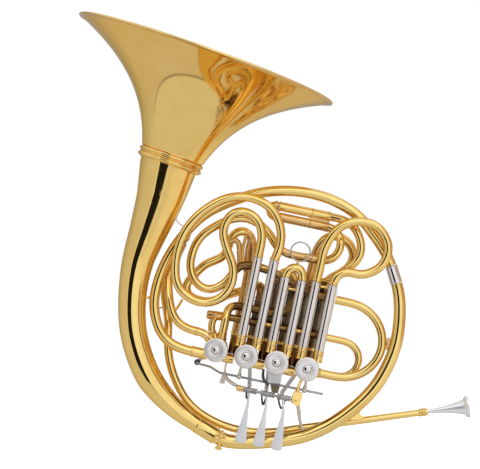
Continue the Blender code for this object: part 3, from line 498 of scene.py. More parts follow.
LOOKS = {
    "brass": metal("lacquered_brass_surface", (0.90, 0.62, 0.20), (0.94, 0.67, 0.24), (0.06, 0.12),
                   coat=0.12, edge=(0.95, 0.78, 0.5)),
    "satin_brass": metal("bell_brass_surface", (0.90, 0.62, 0.20), (0.94, 0.66, 0.23),
                         (0.05, 0.09), wave=0.00001, coat=0.1, edge=(0.95, 0.78, 0.5)),
    # a darker brass: painted shade, given to brass and nickel parts that lie in shade
    "rose_brass": metal("shaded_brass_surface", (0.72, 0.44, 0.17), (0.78, 0.50, 0.20),
                        (0.16, 0.26)),
    "nickel": metal("nickel_silver_surface", (0.76, 0.70, 0.67), (0.83, 0.77, 0.74),
                    (0.07, 0.14), wave=0.00002),
    "cap_nickel": metal("valve_cap_surface", (0.86, 0.79, 0.75), (0.93, 0.87, 0.83),
                        (0.24, 0.34), wave=0.00001, scratch=0.3),
    # near-black brass and a dark nickel: painted shade, mostly behind and between the slides
    "old_brass": metal("deep_shade_brass_surface", (0.20, 0.11, 0.04), (0.36, 0.21, 0.07),
                       (0.2, 0.34)),
    "old_nickel": metal("shaded_nickel_surface", (0.12, 0.09, 0.055), (0.23, 0.18, 0.11),
                        (0.14, 0.26)),
    "leg": metal("inner_slide_surface", (0.60, 0.55, 0.50), (0.70, 0.64, 0.60), (0.16, 0.28)),
    "key_silver": metal("key_surface", (0.66, 0.63, 0.62), (0.72, 0.69, 0.68), (0.26, 0.36),
                        wave=0.00001),
    "silver": metal("silver_plate_surface", (0.94, 0.94, 0.95), (0.97, 0.97, 0.98),
                    (0.36, 0.46), wave=0.00001),
    "steel": metal("steel_surface", (0.34, 0.33, 0.33), (0.46, 0.44, 0.43), (0.2, 0.35)),
    "cork": plain("cork_surface", (0.30, 0.17, 0.09), (0.52, 0.34, 0.20), 0.85),
    "rubber": plain("rubber_surface", (0.03, 0.03, 0.03), (0.06, 0.06, 0.06), 0.6),
    # near black: painted shade in the screw slots
    "shadow": plain("slot_shadow_surface", (0.02, 0.02, 0.02), (0.04, 0.035, 0.03), 0.9),
}


def piece(shape, body, node, sharp=38):
    """Turn a gathered shape into an object that rides on a body and stands for its CAD node."""
    name = node + "_surface"
    mesh = bpy.data.meshes.new(name)
    points = np.concatenate(shape.points) * MM
    mesh.from_pydata(points.tolist(), [], shape.faces)
    used = list(dict.fromkeys(shape.looks))
    for look in used:
        mesh.materials.append(LOOKS[look])
    mesh.polygons.foreach_set("material_index", [used.index(look) for look in shape.looks])
    tidy = bmesh.new()
    tidy.from_mesh(mesh)
    bmesh.ops.recalc_face_normals(tidy, faces=tidy.faces)
    tidy.to_mesh(mesh)
    tidy.free()
    mesh.shade_smooth()
    mesh.set_sharp_from_angle(angle=math.radians(sharp))
    made = bpy.data.objects.new(name, mesh)
    bpy.context.scene.collection.objects.link(made)
    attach(made, body)
    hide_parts(node)


# Bell ---------------------------------------------------------------------------------------

def flare_radius(depth):
    return FLARE_BASE + (RIM_RADIUS - FLARE_BASE) * math.exp(-depth / FLARE_DECAY)


def make_bell():
    """The flare with its rolled rim, and the outer half of the screw ring."""
    shape = Shape()
    bead = BEAD_RADIUS
    edge = RIM_RADIUS - bead
    depths = [FLARE_DEPTH * (k / 70) ** 1.35 for k in range(1, 71)]
    depths = [depth for depth in depths if depth > 1.4]
    outer = [(flare_radius(depth), -depth) for depth in depths]
    inner = [(flare_radius(depth) - SHEET * 1.2, -depth + SHEET * 0.3) for depth in depths]
    rolled = [(edge + bead * math.cos(angle), bead * math.sin(angle))
              for angle in np.linspace(math.pi * 0.93, -math.pi * 0.62, 15)]
    profile = rolled + outer + inner[::-1]
    turned(shape, profile, RIM_CENTRE, BELL_AXIS, "satin_brass", 160, fillet=0)

    def under_rim(_, middle):
        """Whether a face is on the rolled rim's underside, which is given a darker brass as painted
        shade.
        """
        out = middle - np.array(RIM_CENTRE)
        return (-1.05 * bead < out @ np.array(BELL_AXIS) < -0.5 * bead
                and np.linalg.norm(out) > edge - 0.45 * bead)

    # painted shade: the rolled rim's underside is given a darker brass
    relabel(shape, "rose_brass", under_rim)
    piece(shape, "bell", "bell_flare")

    for node, body, start in (
            ("flare_collar", "bell", FLARE_DEPTH + GAP),
            ("tail_collar", "horn", FLARE_DEPTH + 2 * GAP + COLLAR_LENGTH)):
        shape = Shape()
        r, length = COLLAR_RADIUS, COLLAR_LENGTH
        bore = flare_radius(FLARE_DEPTH) - SHEET * 1.2
        top, foot = (2.6, 1.4) if node == "flare_collar" else (1.4, 2.8)
        arc = [(r - 1.5 + 1.5 * math.sin(angle), -length / 2 + 1.9 * math.cos(angle))
               for angle in np.linspace(0.15, math.pi - 0.15, 13)]
        profile = [(bore, 0.0), (r - top, 0.0), (r - 1.9, -0.9), *arc,
                   (r - 1.9, -length + 0.9), (r - foot, -length), (bore, -length)]
        turned(shape, profile, bell_point(start), BELL_AXIS, "brass", 120)
        piece(shape, body, node)


TAIL_STATIONS = (
    (-162, 278, 27.8), (-169, 258, 25.0), (-178, 233, 21.6), (-187, 208, 18.8), (-192.5, 182, 17.0),
    (-195, 150, 16.0), (-193, 120, 15.6), (-184, 88, 15.4), (-173, 65, 15.0), (-154, 42, 12.8),
    (-137, 26.5, 10.7), (-119, 14, 9.2))
FIRST_BRANCH = (
    (-98, 1), (-93.5, -1.8), (-84, -4.6), (-75, -5.6), (-44, -5.5), (0, 0), (31, 12), (58, 30),
    (83.5, 53.5), (100, 79), (111, 107), (115.4, 136), (115.4, 160), (113.6, 172), (112, 178))
SECOND_BRANCH = (
    (105.5, 199), (103.4, 205), (98, 216), (88, 231), (70, 254), (52, 267.5), (32, 277), (10, 283),
    (-12, 285.5), (-42, 284), (-79, 273.5), (-112, 257), (-141, 227), (-160, 194), (-169, 161),
    (-168, 141), (-162, 122.5), (-151, 109), (-134, 101.5), (-125, 99.4))
TAIL_TOP_RADIUS = 33.6


def tapered(count, start, taper):
    """Radii that shrink evenly from the start by the taper."""
    return [start - taper * k / (count - 1) for k in range(count)]


def make_body_tubes():
    """The wide conical tail and the round body tube, with the ferrules at their joints."""
    shape = Shape()
    top = bell_point(FLARE_DEPTH + 2 * (GAP + COLLAR_LENGTH) + GAP)
    points = [top] + [Vector((x, 0, z)) for x, z, _ in TAIL_STATIONS]
    radii = [TAIL_TOP_RADIUS] + [radius for _, _, radius in TAIL_STATIONS]
    curve(shape, points, radii, "satin_brass", spacing=3.0, sides=72, wall=SHEET,
          start=-BELL_AXIS)
    piece(shape, "horn", "bell_tail")

    shape = Shape()
    branch = flat_line(FIRST_BRANCH)
    curve(shape, branch, tapered(len(branch), 8.8, 2.2), "brass", spacing=2.5, sides=40)
    water_key_seat(shape)
    piece(shape, "horn", "first_branch")

    shape = Shape()
    branch = flat_line(SECOND_BRANCH)
    curve(shape, branch, tapered(len(branch), 6.4, 0.8), "brass", spacing=2.5, sides=36)
    # the wire stay and the short brace to the tail, and the brace to the leadpipe
    stay = [(-144.4, 254.5), (-143.2, 249.5), (-139.5, 246.2), (-134.5, 244.4)]
    curve(shape, flat_line(stay), 0.7, "nickel", sides=12)
    brace(shape, flat(-179.3, 161.8), flat(-173.6, 161.8), 1.5, "brass", foot=1.2)
    rod(shape, Vector((-165.0, 6, 149.6)), Vector((-157.5, 14, 149.6)), 0.9, "nickel", 12)
    curve(shape, [Vector((-136.5, -14, 159.5)), Vector((-140.5, -5, 152)),
                  Vector((-146.5, 3, 145))], 1.4, "brass", sides=14)
    piece(shape, "horn", "second_branch")

    shape = Shape()
    start, end = flat(-119, 14), flat(-98, 1)
    run = (end - start).normalized()
    length = (end - start).length + 1.5
    profile = [(9.0, 0.0), (10.1, 0.3), (10.2, 1.8), (9.75, 2.2), (9.8, length - 2.4),
               (10.5, length - 2.0), (10.5, length - 0.4), (8.9, length)]
    turned(shape, solid(profile), start - run * 0.9, run, "brass", 48)
    piece(shape, "horn", "tail_ferrule")

    shape = Shape()
    start, end = flat(112, 178), flat(105.5, 199)
    run = (end - start).normalized()
    length = (end - start).length - 1.2
    profile = [(6.8, 0.0), (7.15, 0.4), (7.15, 1.4), (7.0, 1.7), (6.9, length - 2.0),
               (7.05, length - 1.6), (7.0, length - 0.3), (6.3, length)]
    turned(shape, solid(profile), start + run * 0.6, run, "nickel", 48)
    piece(shape, "horn", "branch_ferrule")


# Mouthpipe ----------------------------------------------------------------------------------

LEADPIPE = ((-153, 128), (-154, 112), (-151.5, 86), (-145, 65.5), (-133, 43), (-116.5, 27),
            (-88.5, 12.2), (-58, 5.0), (-29, 5.0), (0, 9.0), (29, 12.8), (71, 17.9), (139, 26.9))
MAIN_AXIS = Vector((0.42, 0.0, 0.907)).normalized()
MAIN_FOOT = Vector((-150.0, 0.0, 196.0))
MAIN_SLEEVE = 32.0
MOUTH_AXIS = Vector((68.0, 0.0, 8.9)).normalized()


def make_mouthpipe():
    """The leadpipe, the receiver at its end, and the mouthpiece."""
    shape = Shape()
    foot = MAIN_FOOT + Y * BACK_LAYER
    climb = [foot - MAIN_AXIS * GAP, foot - MAIN_AXIS * 12.0,
             Vector((-158, BACK_LAYER - 2, 166)), Vector((-155, 18, 146))]
    points = climb + flat_line(LEADPIPE, BACK_RUN)
    radii = [TUBE_RADIUS] * (len(points) - 5) + [4.6, 4.5, 4.4, 4.2, 3.8]
    curve(shape, points, radii, "brass", spacing=2.2, sides=32)
    # the web between the body tube and the leadpipe where they part
    slab(shape, [(115.5, -49.5), (121.2, -37.1), (127.5, -32.8), (125.8, -36.1), (125.4, -38.9),
                 (127.4, -41.6), (130.5, -42.6), (131.0, -45.5)], 3.0, 8.0, "brass", bevel=0.3)
    piece(shape, "horn", "leadpipe")

    shape = Shape()
    start = Vector((139, BACK_RUN, 26.9)) + MOUTH_AXIS * GAP
    profile = [(2.9, 0.0), (4.2, 0.0), (4.9, 0.5), (5.05, 1.2), (4.9, 1.9), (4.35, 2.4),
               (4.35, 2.9), (4.9, 3.4), (5.0, 3.9), (4.9, 4.4), (4.4, 4.8), (4.4, 5.4),
               (4.9, 5.8), (4.95, 6.3), (4.8, 6.8), (4.35, 7.2), (4.3, 9.4), (4.1, 10.0),
               (2.9, 10.0)]
    turned(shape, profile, start, MOUTH_AXIS, "brass", 44, fillet=0.2)
    piece(shape, "horn", "mouthpiece_receiver")

    shape = Shape()
    base = start + MOUTH_AXIS * 2.0
    outside = [(2.3, 0.0), (2.42, 4.0), (2.55, 8.6), (2.65, 12.0), (2.95, 16.0), (3.45, 21.0),
               (4.1, 26.5), (4.9, 32.0), (5.8, 37.0), (6.8, 42.0), (7.8, 46.0), (8.5, 48.6),
               (8.9, 50.0), (9.2, 50.8), (10.4, 51.4), (11.6, 52.1), (12.5, 53.2), (12.85, 54.4),
               (12.8, 55.4), (12.4, 56.2), (11.6, 56.55)]
    inside = [(10.4, 56.6), (9.6, 56.1), (9.1, 55.0), (8.6, 53.0), (7.7, 48.5), (6.4, 44.0),
              (5.0, 39.0), (3.8, 33.0), (2.9, 28.0), (2.2, 22.0), (1.7, 16.0), (1.5, 8.0),
              (1.4, 0.0)]
    turned(shape, outside + inside, base, MOUTH_AXIS, "silver", 64, fillet=0)
    piece(shape, "mouthpiece", "mouthpiece")


def sleeve(shape, foot, axis, length, look="nickel", foot_band=True):
    """An outer slide tube, open at its far end with a bead there, and a ferrule at its foot."""
    o, i = SLEEVE_OUTER, SLEEVE_INNER
    profile = [(i, 0.0), (o, 0.0), (o, length - 2.4), (o + 0.32, length - 2.1),
               (o + 0.38, length - 1.2), (o + 0.3, length - 0.2), (o - 0.1, length),
               (i, length)]
    turned(shape, profile, foot, axis, look, 36, fillet=0.2)
    if foot_band:
        band(shape, foot + axis * 2.2, axis, o, 3.6, "brass", rise=0.5)


def crook(shape, path, axis, reach):
    """A slide's bow with its ferrules and the thin legs that run in the sleeves."""
    ends = ((path[0], axis), (path[-1], axis))
    tube(shape, path, [CROOK_RADIUS] * len(path), "brass", 32, start=axis, end=-axis)
    for place, direction in ends:
        leg = [(LEG_RADIUS - 0.4, 0), (LEG_RADIUS, 0.6), (LEG_RADIUS, reach + 0.5)]
        turned(shape, solid(leg), place - direction * reach, direction, "leg", 28)
        turned(shape, [(LEG_RADIUS - 0.2, -0.75), (CROOK_RADIUS - 0.25, -0.75),
                       (CROOK_RADIUS + 0.42, -0.2), (CROOK_RADIUS + 0.5, 1.0),
                       (CROOK_RADIUS + 0.42, 2.2), (CROOK_RADIUS - 0.1, 2.6),
                       (LEG_RADIUS - 0.2, 2.6)], place, direction, "brass", 32)


def make_main_slide():
    """The main tuning slide at the back left, and the neck tube from it to the first valve."""
    shape = Shape()
    for depth in (BACK_LAYER, TUNING_LAYER):
        sleeve(shape, MAIN_FOOT + Y * depth, MAIN_AXIS, MAIN_SLEEVE)
    for share in (0.3, 0.7):
        middle = MAIN_FOOT + MAIN_AXIS * (MAIN_SLEEVE * share)
        brace(shape, middle + Y * (BACK_LAYER - 5.2),
              middle + Y * (TUNING_LAYER + 5.2), 0.8, "nickel", foot=0.3)
    piece(shape, "horn", "main_slide_sleeves")

    shape = Shape()
    half = (BACK_LAYER - TUNING_LAYER) / 2
    centre = MAIN_FOOT + MAIN_AXIS * (MAIN_SLEEVE + 5.0) + Y * (TUNING_LAYER + half)
    arc = [centre + Vector((0, half * math.cos(a), 0)) + MAIN_AXIS * (half * math.sin(a))
           for a in np.linspace(0, math.pi, 25)]
    crook(shape, arc, MAIN_AXIS, 26.0)
    knob = centre + MAIN_AXIS * (half + CROOK_RADIUS - 0.2)
    ball(shape, knob, 1.6, "brass", MAIN_AXIS)
    piece(shape, "main_tuning_slide", "main_tuning_crook")

    shape = Shape()
    foot = MAIN_FOOT + Y * TUNING_LAYER
    points = [foot - MAIN_AXIS * GAP, foot - MAIN_AXIS * 8.0, Vector((-153, 8, 176)),
              Vector((-151.5, 2, 160)), flat(-148.5, 145), flat(-140.5, 132),
              flat(-127, 124.5), flat(-114, 121.5), flat(-107.5, 117)]
    curve(shape, points, TUBE_RADIUS, "brass", sides=32)
    band(shape, flat(-120, 122.7), flat(1, -0.22), TUBE_RADIUS, 3.0, "brass")
    piece(shape, "horn", "neck_tube")


HIDDEN_FRONT = -9.0            # in depth
HIDDEN_BACK = 26.0


def darkened(shape, low, high, top, look="old_brass", bottom=-99.0):
    """Painted shade: a darker look for a shape's brass where its tubes run close behind the slides,
    between two places along the row and two heights up it."""
    def hidden(now, middle):
        out = middle - np.array(ROW_CENTRE)
        return (now == "brass" and low < out @ np.array(ALONG) < high
                and bottom < out @ np.array(UP) < top and HIDDEN_FRONT < out[1] < HIDDEN_BACK)

    relabel(shape, look, hidden)


# Valves -------------------------------------------------------------------------------------

def slide_centre(index, back):
    """How far along the row a valve's pair of slide legs is centred."""
    return valve_along(index) + (BACK_SHIFT if back else 0.0)


def stop_side(index):
    """Which side a valve's stop plate faces: the second valve's is turned round."""
    return 1 if index == 1 else -1


def knuckle(shape, start, end, radius):
    """A port tube that grows out of a casing, with a bead at its outer end."""
    length = (end - start).length
    profile = [(radius + 0.5, 0.0), (radius + 0.1, 1.6), (radius, 2.4), (radius, length - 1.8),
               (radius + 0.45, length - 1.5), (radius + 0.45, length - 0.3), (radius, length)]
    turned(shape, solid(profile), start, end - start, "brass", 36)


THUMB_UP = -25.5
THUMB_DEPTH = -10.0
THUMB_LEFT = -44.0
THUMB_RIGHT = 78.0
THUMB_WIRE_END = -72.0
THUMB_WIRE_UP = -22.0
THUMB_PLATE_ALONG = -38.5
THUMB_POSTS = {1: -21.0, 3: 56.0}


def make_valve(index):
    """A casing with its ports and stop plate, its fluted cap, and its rotor."""
    number = index + 1
    centre = row(valve_along(index), 0, 0)
    a = valve_along(index)
    shape = Shape()
    r = CASING_RADIUS
    profile = [(10.2, CASING_FRONT), (r, CASING_FRONT), (r, -18.6), (r - 0.45, -18.2),
               (r - 0.45, 26.0), (r + 0.35, 26.4), (r + 0.35, 29.6), (r - 0.6, 30.0),
               (r - 0.6, CASING_BACK), (3.4, CASING_BACK), (3.4, CASING_BACK - 3),
               (10.2, CASING_BACK - 3)]
    turned(shape, profile, centre, Y, "brass", 72, fillet=0.3)
    ports = []                # each port tube's start, end, depth and radius
    if index == 0:
        ports += [((a - 9.0, -8.4), (a - 27.6, -8.4), 0, 6.2),
                  ((a - 5.0, 9.5), (a - 9.0, 18.0), BACK_RUN, 5.0),
                  ((a - 4.0, 10.0), (a - 6.6, 17.0), 0, 5.2),
                  ((a - 4.0, 6.0), (-65.9, 12.1), 0, 5.3),
                  ((a + 4.0, 10.0), (a + 4.0, 15.0), MID_LAYER, 5.4)]
    else:
        for side in (-1, 1):
            front, back = (slide_centre(index, is_back) + side * LEG_SPREAD
                           for is_back in (False, True))
            ports += [((front, 9.6), (front, KNUCKLE_TOP), FRONT_LAYER, 5.5),
                      ((back, -3.0 if side < 0 else 10.0), (back, KNUCKLE_TOP), BACK_LAYER,
                       SLEEVE_OUTER - 0.3)]
    if index == 3:
        ports += [((a + 9.5, PORT_UP), (a + PORT_REACH, PORT_UP), depth, radius)
                  for depth, radius in ((MID_LAYER, 5.4), (BACK_RUN, 4.7))]
    for start, end, depth, radius in ports:
        knuckle(shape, row(*start, depth), row(*end, depth), radius)
    if index < 3:
        reach = a + VALVE_PITCH - CASING_RADIUS - GAP
        for depth in (-14.0, 9.0):
            knuckle(shape, row(a + 9.5, -7.5, depth), row(reach, -7.5, depth), 4.6)
            band(shape, row((a + 11.5 + reach) / 2, -7.5, depth), ALONG, 4.6, 3.4, "brass")
    if index in THUMB_POSTS:
        p = THUMB_POSTS[index]
        stem = [(TINY, 0.0), (2.9, 0.0), (2.7, 0.6), (1.5, 2.2), (1.35, 5.0), (1.5, 9.0),
                (2.6, 12.0), (TINY, 12.5)]
        turned(shape, stem, row(p, -11.2, THUMB_DEPTH), -UP, "key_silver", 20)
        eye = [(1.6, -2.0), (2.9, -2.0), (3.1, -1.4), (3.1, 1.4), (2.9, 2.0), (1.6, 2.0)]
        turned(shape, eye, row(p, THUMB_UP, THUMB_DEPTH), ALONG, "key_silver", 24)
    # the stop plate behind, with its two cork bumpers
    plate_depth = CASING_BACK + 0.1
    sign = stop_side(index)
    for up in (-1, 1):
        bumper = (a + sign * 10.4, up * 10.0)
        slab(shape, bar_outline((a + sign * 6.0, up * 8.8), bumper, 2.4, 2.2), plate_depth, 1.4,
             "brass")
        turned(shape, solid([(1.7, 0), (1.7, 3.4)]), row(*bumper, plate_depth + 1.0), Y, "cork",
               16)
    # painted shade: the casing and its ports are near-black where they sit behind the slides
    darkened(shape, -44.0, 67.0, 120.0)
    piece(shape, "horn", f"valve_casing_{number}")

    shape = Shape()
    front = CAP_FRONT
    c = CAP_RADIUS
    profile = [(TINY, CASING_FRONT - GAP), (c, CASING_FRONT - GAP), (c, front + 1.3),
               (c - 0.5, front + 0.5), (c - 1.3, front + 0.02), (6.3, front), (6.0, front + 0.25),
               (5.6, front + 0.3), (5.2, front + 0.1), (4.9, front + 0.1), (4.8, front + 3.0),
               (TINY, front + 3.0)]
    turned(shape, profile, centre, Y, "cap_nickel", fillet=0.15,
           ripple=(56, 0.35, front + 1.25, CASING_FRONT - GAP - 0.3))
    button = [(4.3, front + 3.1), (4.3, front + 0.35), (3.6, front + 0.02), (2.6, front - 0.32),
              (1.3, front - 0.56), (TINY, front - 0.62), (TINY, front + 3.1)]
    turned(shape, button, centre, Y, "nickel", 40, fillet=0.1)
    piece(shape, "horn", f"valve_cap_{number}",
          sharp=50)

    shape = Shape()
    profile = [(TINY, -21.4), (9.9, -21.4), (9.9, 28.7), (3.0, 28.7), (3.0, 38.6), (2.4, 39.0),
               (TINY, 39.0)]
    turned(shape, profile, centre, Y, "nickel", 48)
    screw(shape, row(a, 0, 38.9), Y, 2.2, "steel", 0.8)
    piece(shape, f"valve_{number}", f"rotor_{number}")


STOP_RADIUS = 8.8


def stop_pin(index):
    """Where a stop arm's pin is, along and up the row."""
    side = stop_side(index)
    reach = STOP_RADIUS / math.sqrt(2)
    return valve_along(index) + side * reach, -reach


def make_stop_arm(index):
    """The arm on a rotor's end, with the pin that its link pulls."""
    number = index + 1
    a = valve_along(index)
    pin = stop_pin(index)
    shape = Shape()
    depth = CASING_BACK + 2.0
    slab(shape, bar_outline((a, 0.0), pin, 2.9, 2.3), depth, 2.4, "nickel")
    boss = [(3.3, -0.6), (5.1, -0.6), (5.2, 0.2), (5.2, 3.4), (4.6, 4.2), (3.3, 4.2)]
    turned(shape, boss, row(a, 0, depth), Y, "nickel", 32)
    rod(shape, row(*pin, depth + 1), row(*pin, 39.5 if index == 0 else 40.7), 1.0, "steel")
    arm = (a - (pin[0] - a) * 0.75, -pin[1] * 0.75)
    slab(shape, bar_outline((a, 0.0), arm, 2.4, 1.7), depth + 0.2, 1.9, "nickel")
    piece(shape, f"valve_{number}", f"stop_arm_{number}")


# Valve slides -------------------------------------------------------------------------------

F_CROOKS = {
    1: ((-8.4, 115), (-5.5, 133), (-9, 152), (-19, 167.5), (-33, 176.5), (-56, 179.5), (-79, 172),
        (-103.5, 149.5), (-117.5, 122.5), (-120, 91.5), (-111, 62.5), (-88, 50), (-65.5, 55),
        (-52.5, 73), (-53, 96), (-65.5, 117.5), (-73.5, 137), (-67, 157), (-53, 162.5),
        (-36, 155), (-28.2, 139), (-27.6, 126), (-27.6, 115)),
    2: ((8.2, 99), (8.4, 103.5), (11.3, 109.3), (18, 112), (24.6, 109.3), (27.4, 103.5),
        (27.4, 99)),
    3: ((43.9, 101), (44.5, 117), (45.5, 142), (56, 165.5), (75.5, 178), (100, 176.5), (117, 156.5),
        (113, 132.5), (94, 119), (75, 118.5), (66, 112), (63.1, 101)),
}
B_CROOKS = {
    1: ((-34.6, 50), (-34.9, 90), (-35.4, 120), (-38.5, 133), (-45, 139.5), (-51, 140.5),
        (-58, 137.5), (-62.8, 129), (-63.8, 118), (-67.5, 106), (-76, 99.8), (-86.4, 92.7),
        (-94.5, 81), (-101.5, 69),
        (-103, 60), (-97.5, 53.5), (-88, 50.5), (-76, 50.5), (-65, 54.5, 26), (-56, 61, 31),
        (-46, 67, 36), (-35, 72, 38), (-25, 78, 36), (-18.5, 83, 30), (-15.6, 77, 25),
        (-15.4, 66)),
    2: ((1.2, 89), (1.6, 97), (5.5, 103), (10.8, 105), (16, 103), (20, 97), (20.4, 89)),
    3: ((36.9, 95), (37, 118), (39, 139), (48, 154), (62, 156.5), (75, 150.5), (82, 138),
        (79.5, 125), (68.5, 113), (58.5, 105), (56.1, 95)),
}
TIES = {(False, 1): (104,), (False, 2): (86,), (False, 3): (96,),
        (True, 1): (36,), (True, 2): (54,), (True, 3): (76,)}


def make_valve_slide(index, back):
    """A valve's sleeves, which are fixed, and the crook that slides in them."""
    points = (B_CROOKS if back else F_CROOKS)[index]
    depth = BACK_LAYER if back else FRONT_LAYER
    key = "b_flat" if back else "f"
    shape = Shape()
    legs = sorted([points[0], points[-1]])
    for along, top in legs:
        # painted shade: the back sleeves are dark nickel, and those on the far left a darker brass
        look = "old_nickel" if back else "nickel"
        look = "rose_brass" if back and along < -30 else look
        sleeve(shape, row(along, KNUCKLE_TOP + GAP, depth), UP, top - 1.2 - KNUCKLE_TOP - GAP, look)
    # painted shade: the back slides' ties are near-black brass
    for up in TIES[back, index]:
        inset = SLEEVE_OUTER - 0.25
        brace(shape, row(legs[0][0] + inset, up, depth), row(legs[1][0] - inset, up, depth), 1.5,
              "old_brass" if back else "brass")
    if back:
        # painted shade: only the side that faces the front slides stays dark
        relabel(shape, "nickel", lambda now, middle: now != "brass" and middle[1] > depth + 1.0)
    if index > 1 and not back:
        # a short stay to the neighbouring slide, with a ball in its middle
        right = legs[0][0] - inset
        left = right - 6.4
        brace(shape, row(left, 40.5, depth), row(right, 40.5, depth), 1.2, "brass")
        ball(shape, row((left + right) / 2, 40.5, depth - 0.4), 2.1, "brass")
    if index == 3 and not back:
        plate = ((66.0, 105.5), (65.1, 105.5), (69.8, 95.9), (70.8, 87.9), (69.2, 75.8),
                 (69.3, 58.1), (66.0, 57.8))
        slab(shape, plate, depth + 2.0, 1.4, "nickel")
    piece(shape, "horn", f"{key}_sleeves_{index}")

    shape = Shape()
    line = [row(*place[:2], place[2] if len(place) > 2 else depth) for place in points]
    path, values = smooth(line, [0.0] * len(line))
    path, values = evenly(path, values, 1.6)
    path = relaxed(path, 16)
    crook(shape, path, UP, 26.0)
    if back:
        # painted shade where the crook runs behind the front slides: near-black in the middle, a
        # darker brass further out
        darkened(shape, -26.0, 62.0, 92.0)
        darkened(shape, 30.0, 46.0, 150.0, "rose_brass")
        darkened(shape, -44.0, -28.0, 130.0, "rose_brass")
    if index == 2 and not back:
        ring(shape, row(18.8, 130.2, depth), Y, 11.2, 0.9, "leg", 56)
        rod(shape, row(18.3, 116.0, depth), row(18.5, 120.0, depth), 1.4, "brass")
        ball(shape, row(18.4, 118.6, depth), 1.6, "brass")
    piece(shape, f"{key}_slide_{index}", f"{key}_crook_{index}")


# Fixed tubes behind the slides --------------------------------------------------------------

TUNING_UPS = (177.3, 164.8)
TUNING_LEFT = -16.0
TUNING_RIGHT = 46.0


def make_f_tuning_slide():
    """The short slide at the top, with its two long sleeves."""
    shape = Shape()
    for up in TUNING_UPS:
        # painted shade: the lower sleeve with its bands, and the plate between the sleeves, are a
        # darker brass
        look = "brass" if up == TUNING_UPS[0] else "rose_brass"
        sleeve(shape, row(TUNING_RIGHT, up, TUNING_LAYER), -ALONG, TUNING_RIGHT - TUNING_LEFT,
               look, foot_band=False)
        band(shape, row(TUNING_RIGHT - 2, up, TUNING_LAYER), ALONG, SLEEVE_OUTER, 3.4, look)
        band(shape, row(24, up, TUNING_LAYER), ALONG, SLEEVE_OUTER, 1.8, look, rise=0.4)
    slab(shape, [(21, TUNING_UPS[1] + 3.5), (45, TUNING_UPS[1] + 3.5), (45, TUNING_UPS[0] - 3.5),
                 (21, TUNING_UPS[0] - 3.5)], TUNING_LAYER - 2.4, 4.8, "rose_brass")
    piece(shape, "horn", "f_tuning_sleeves")

    shape = Shape()
    half = (TUNING_UPS[0] - TUNING_UPS[1]) / 2
    middle = TUNING_UPS[1] + half
    start = TUNING_LEFT - 1.0
    arc = [row(start - 1.0 - half * math.sin(a), middle + half * math.cos(a), TUNING_LAYER)
           for a in np.linspace(0, math.pi, 29)]
    crook(shape, arc, -ALONG, 36.0)
    piece(shape, "f_tuning_slide", "f_tuning_crook")


def ellipse_run(centre, half_along, half_up, depth, steps=16):
    """The right half of an ellipse in the row's directions, from its top to its foot."""
    points = []
    for k in range(steps + 1):
        angle = math.pi / 2 - math.pi * k / steps
        points.append(row(centre[0] + half_along * math.cos(angle),
                          centre[1] + half_up * math.sin(angle), depth))
    return points


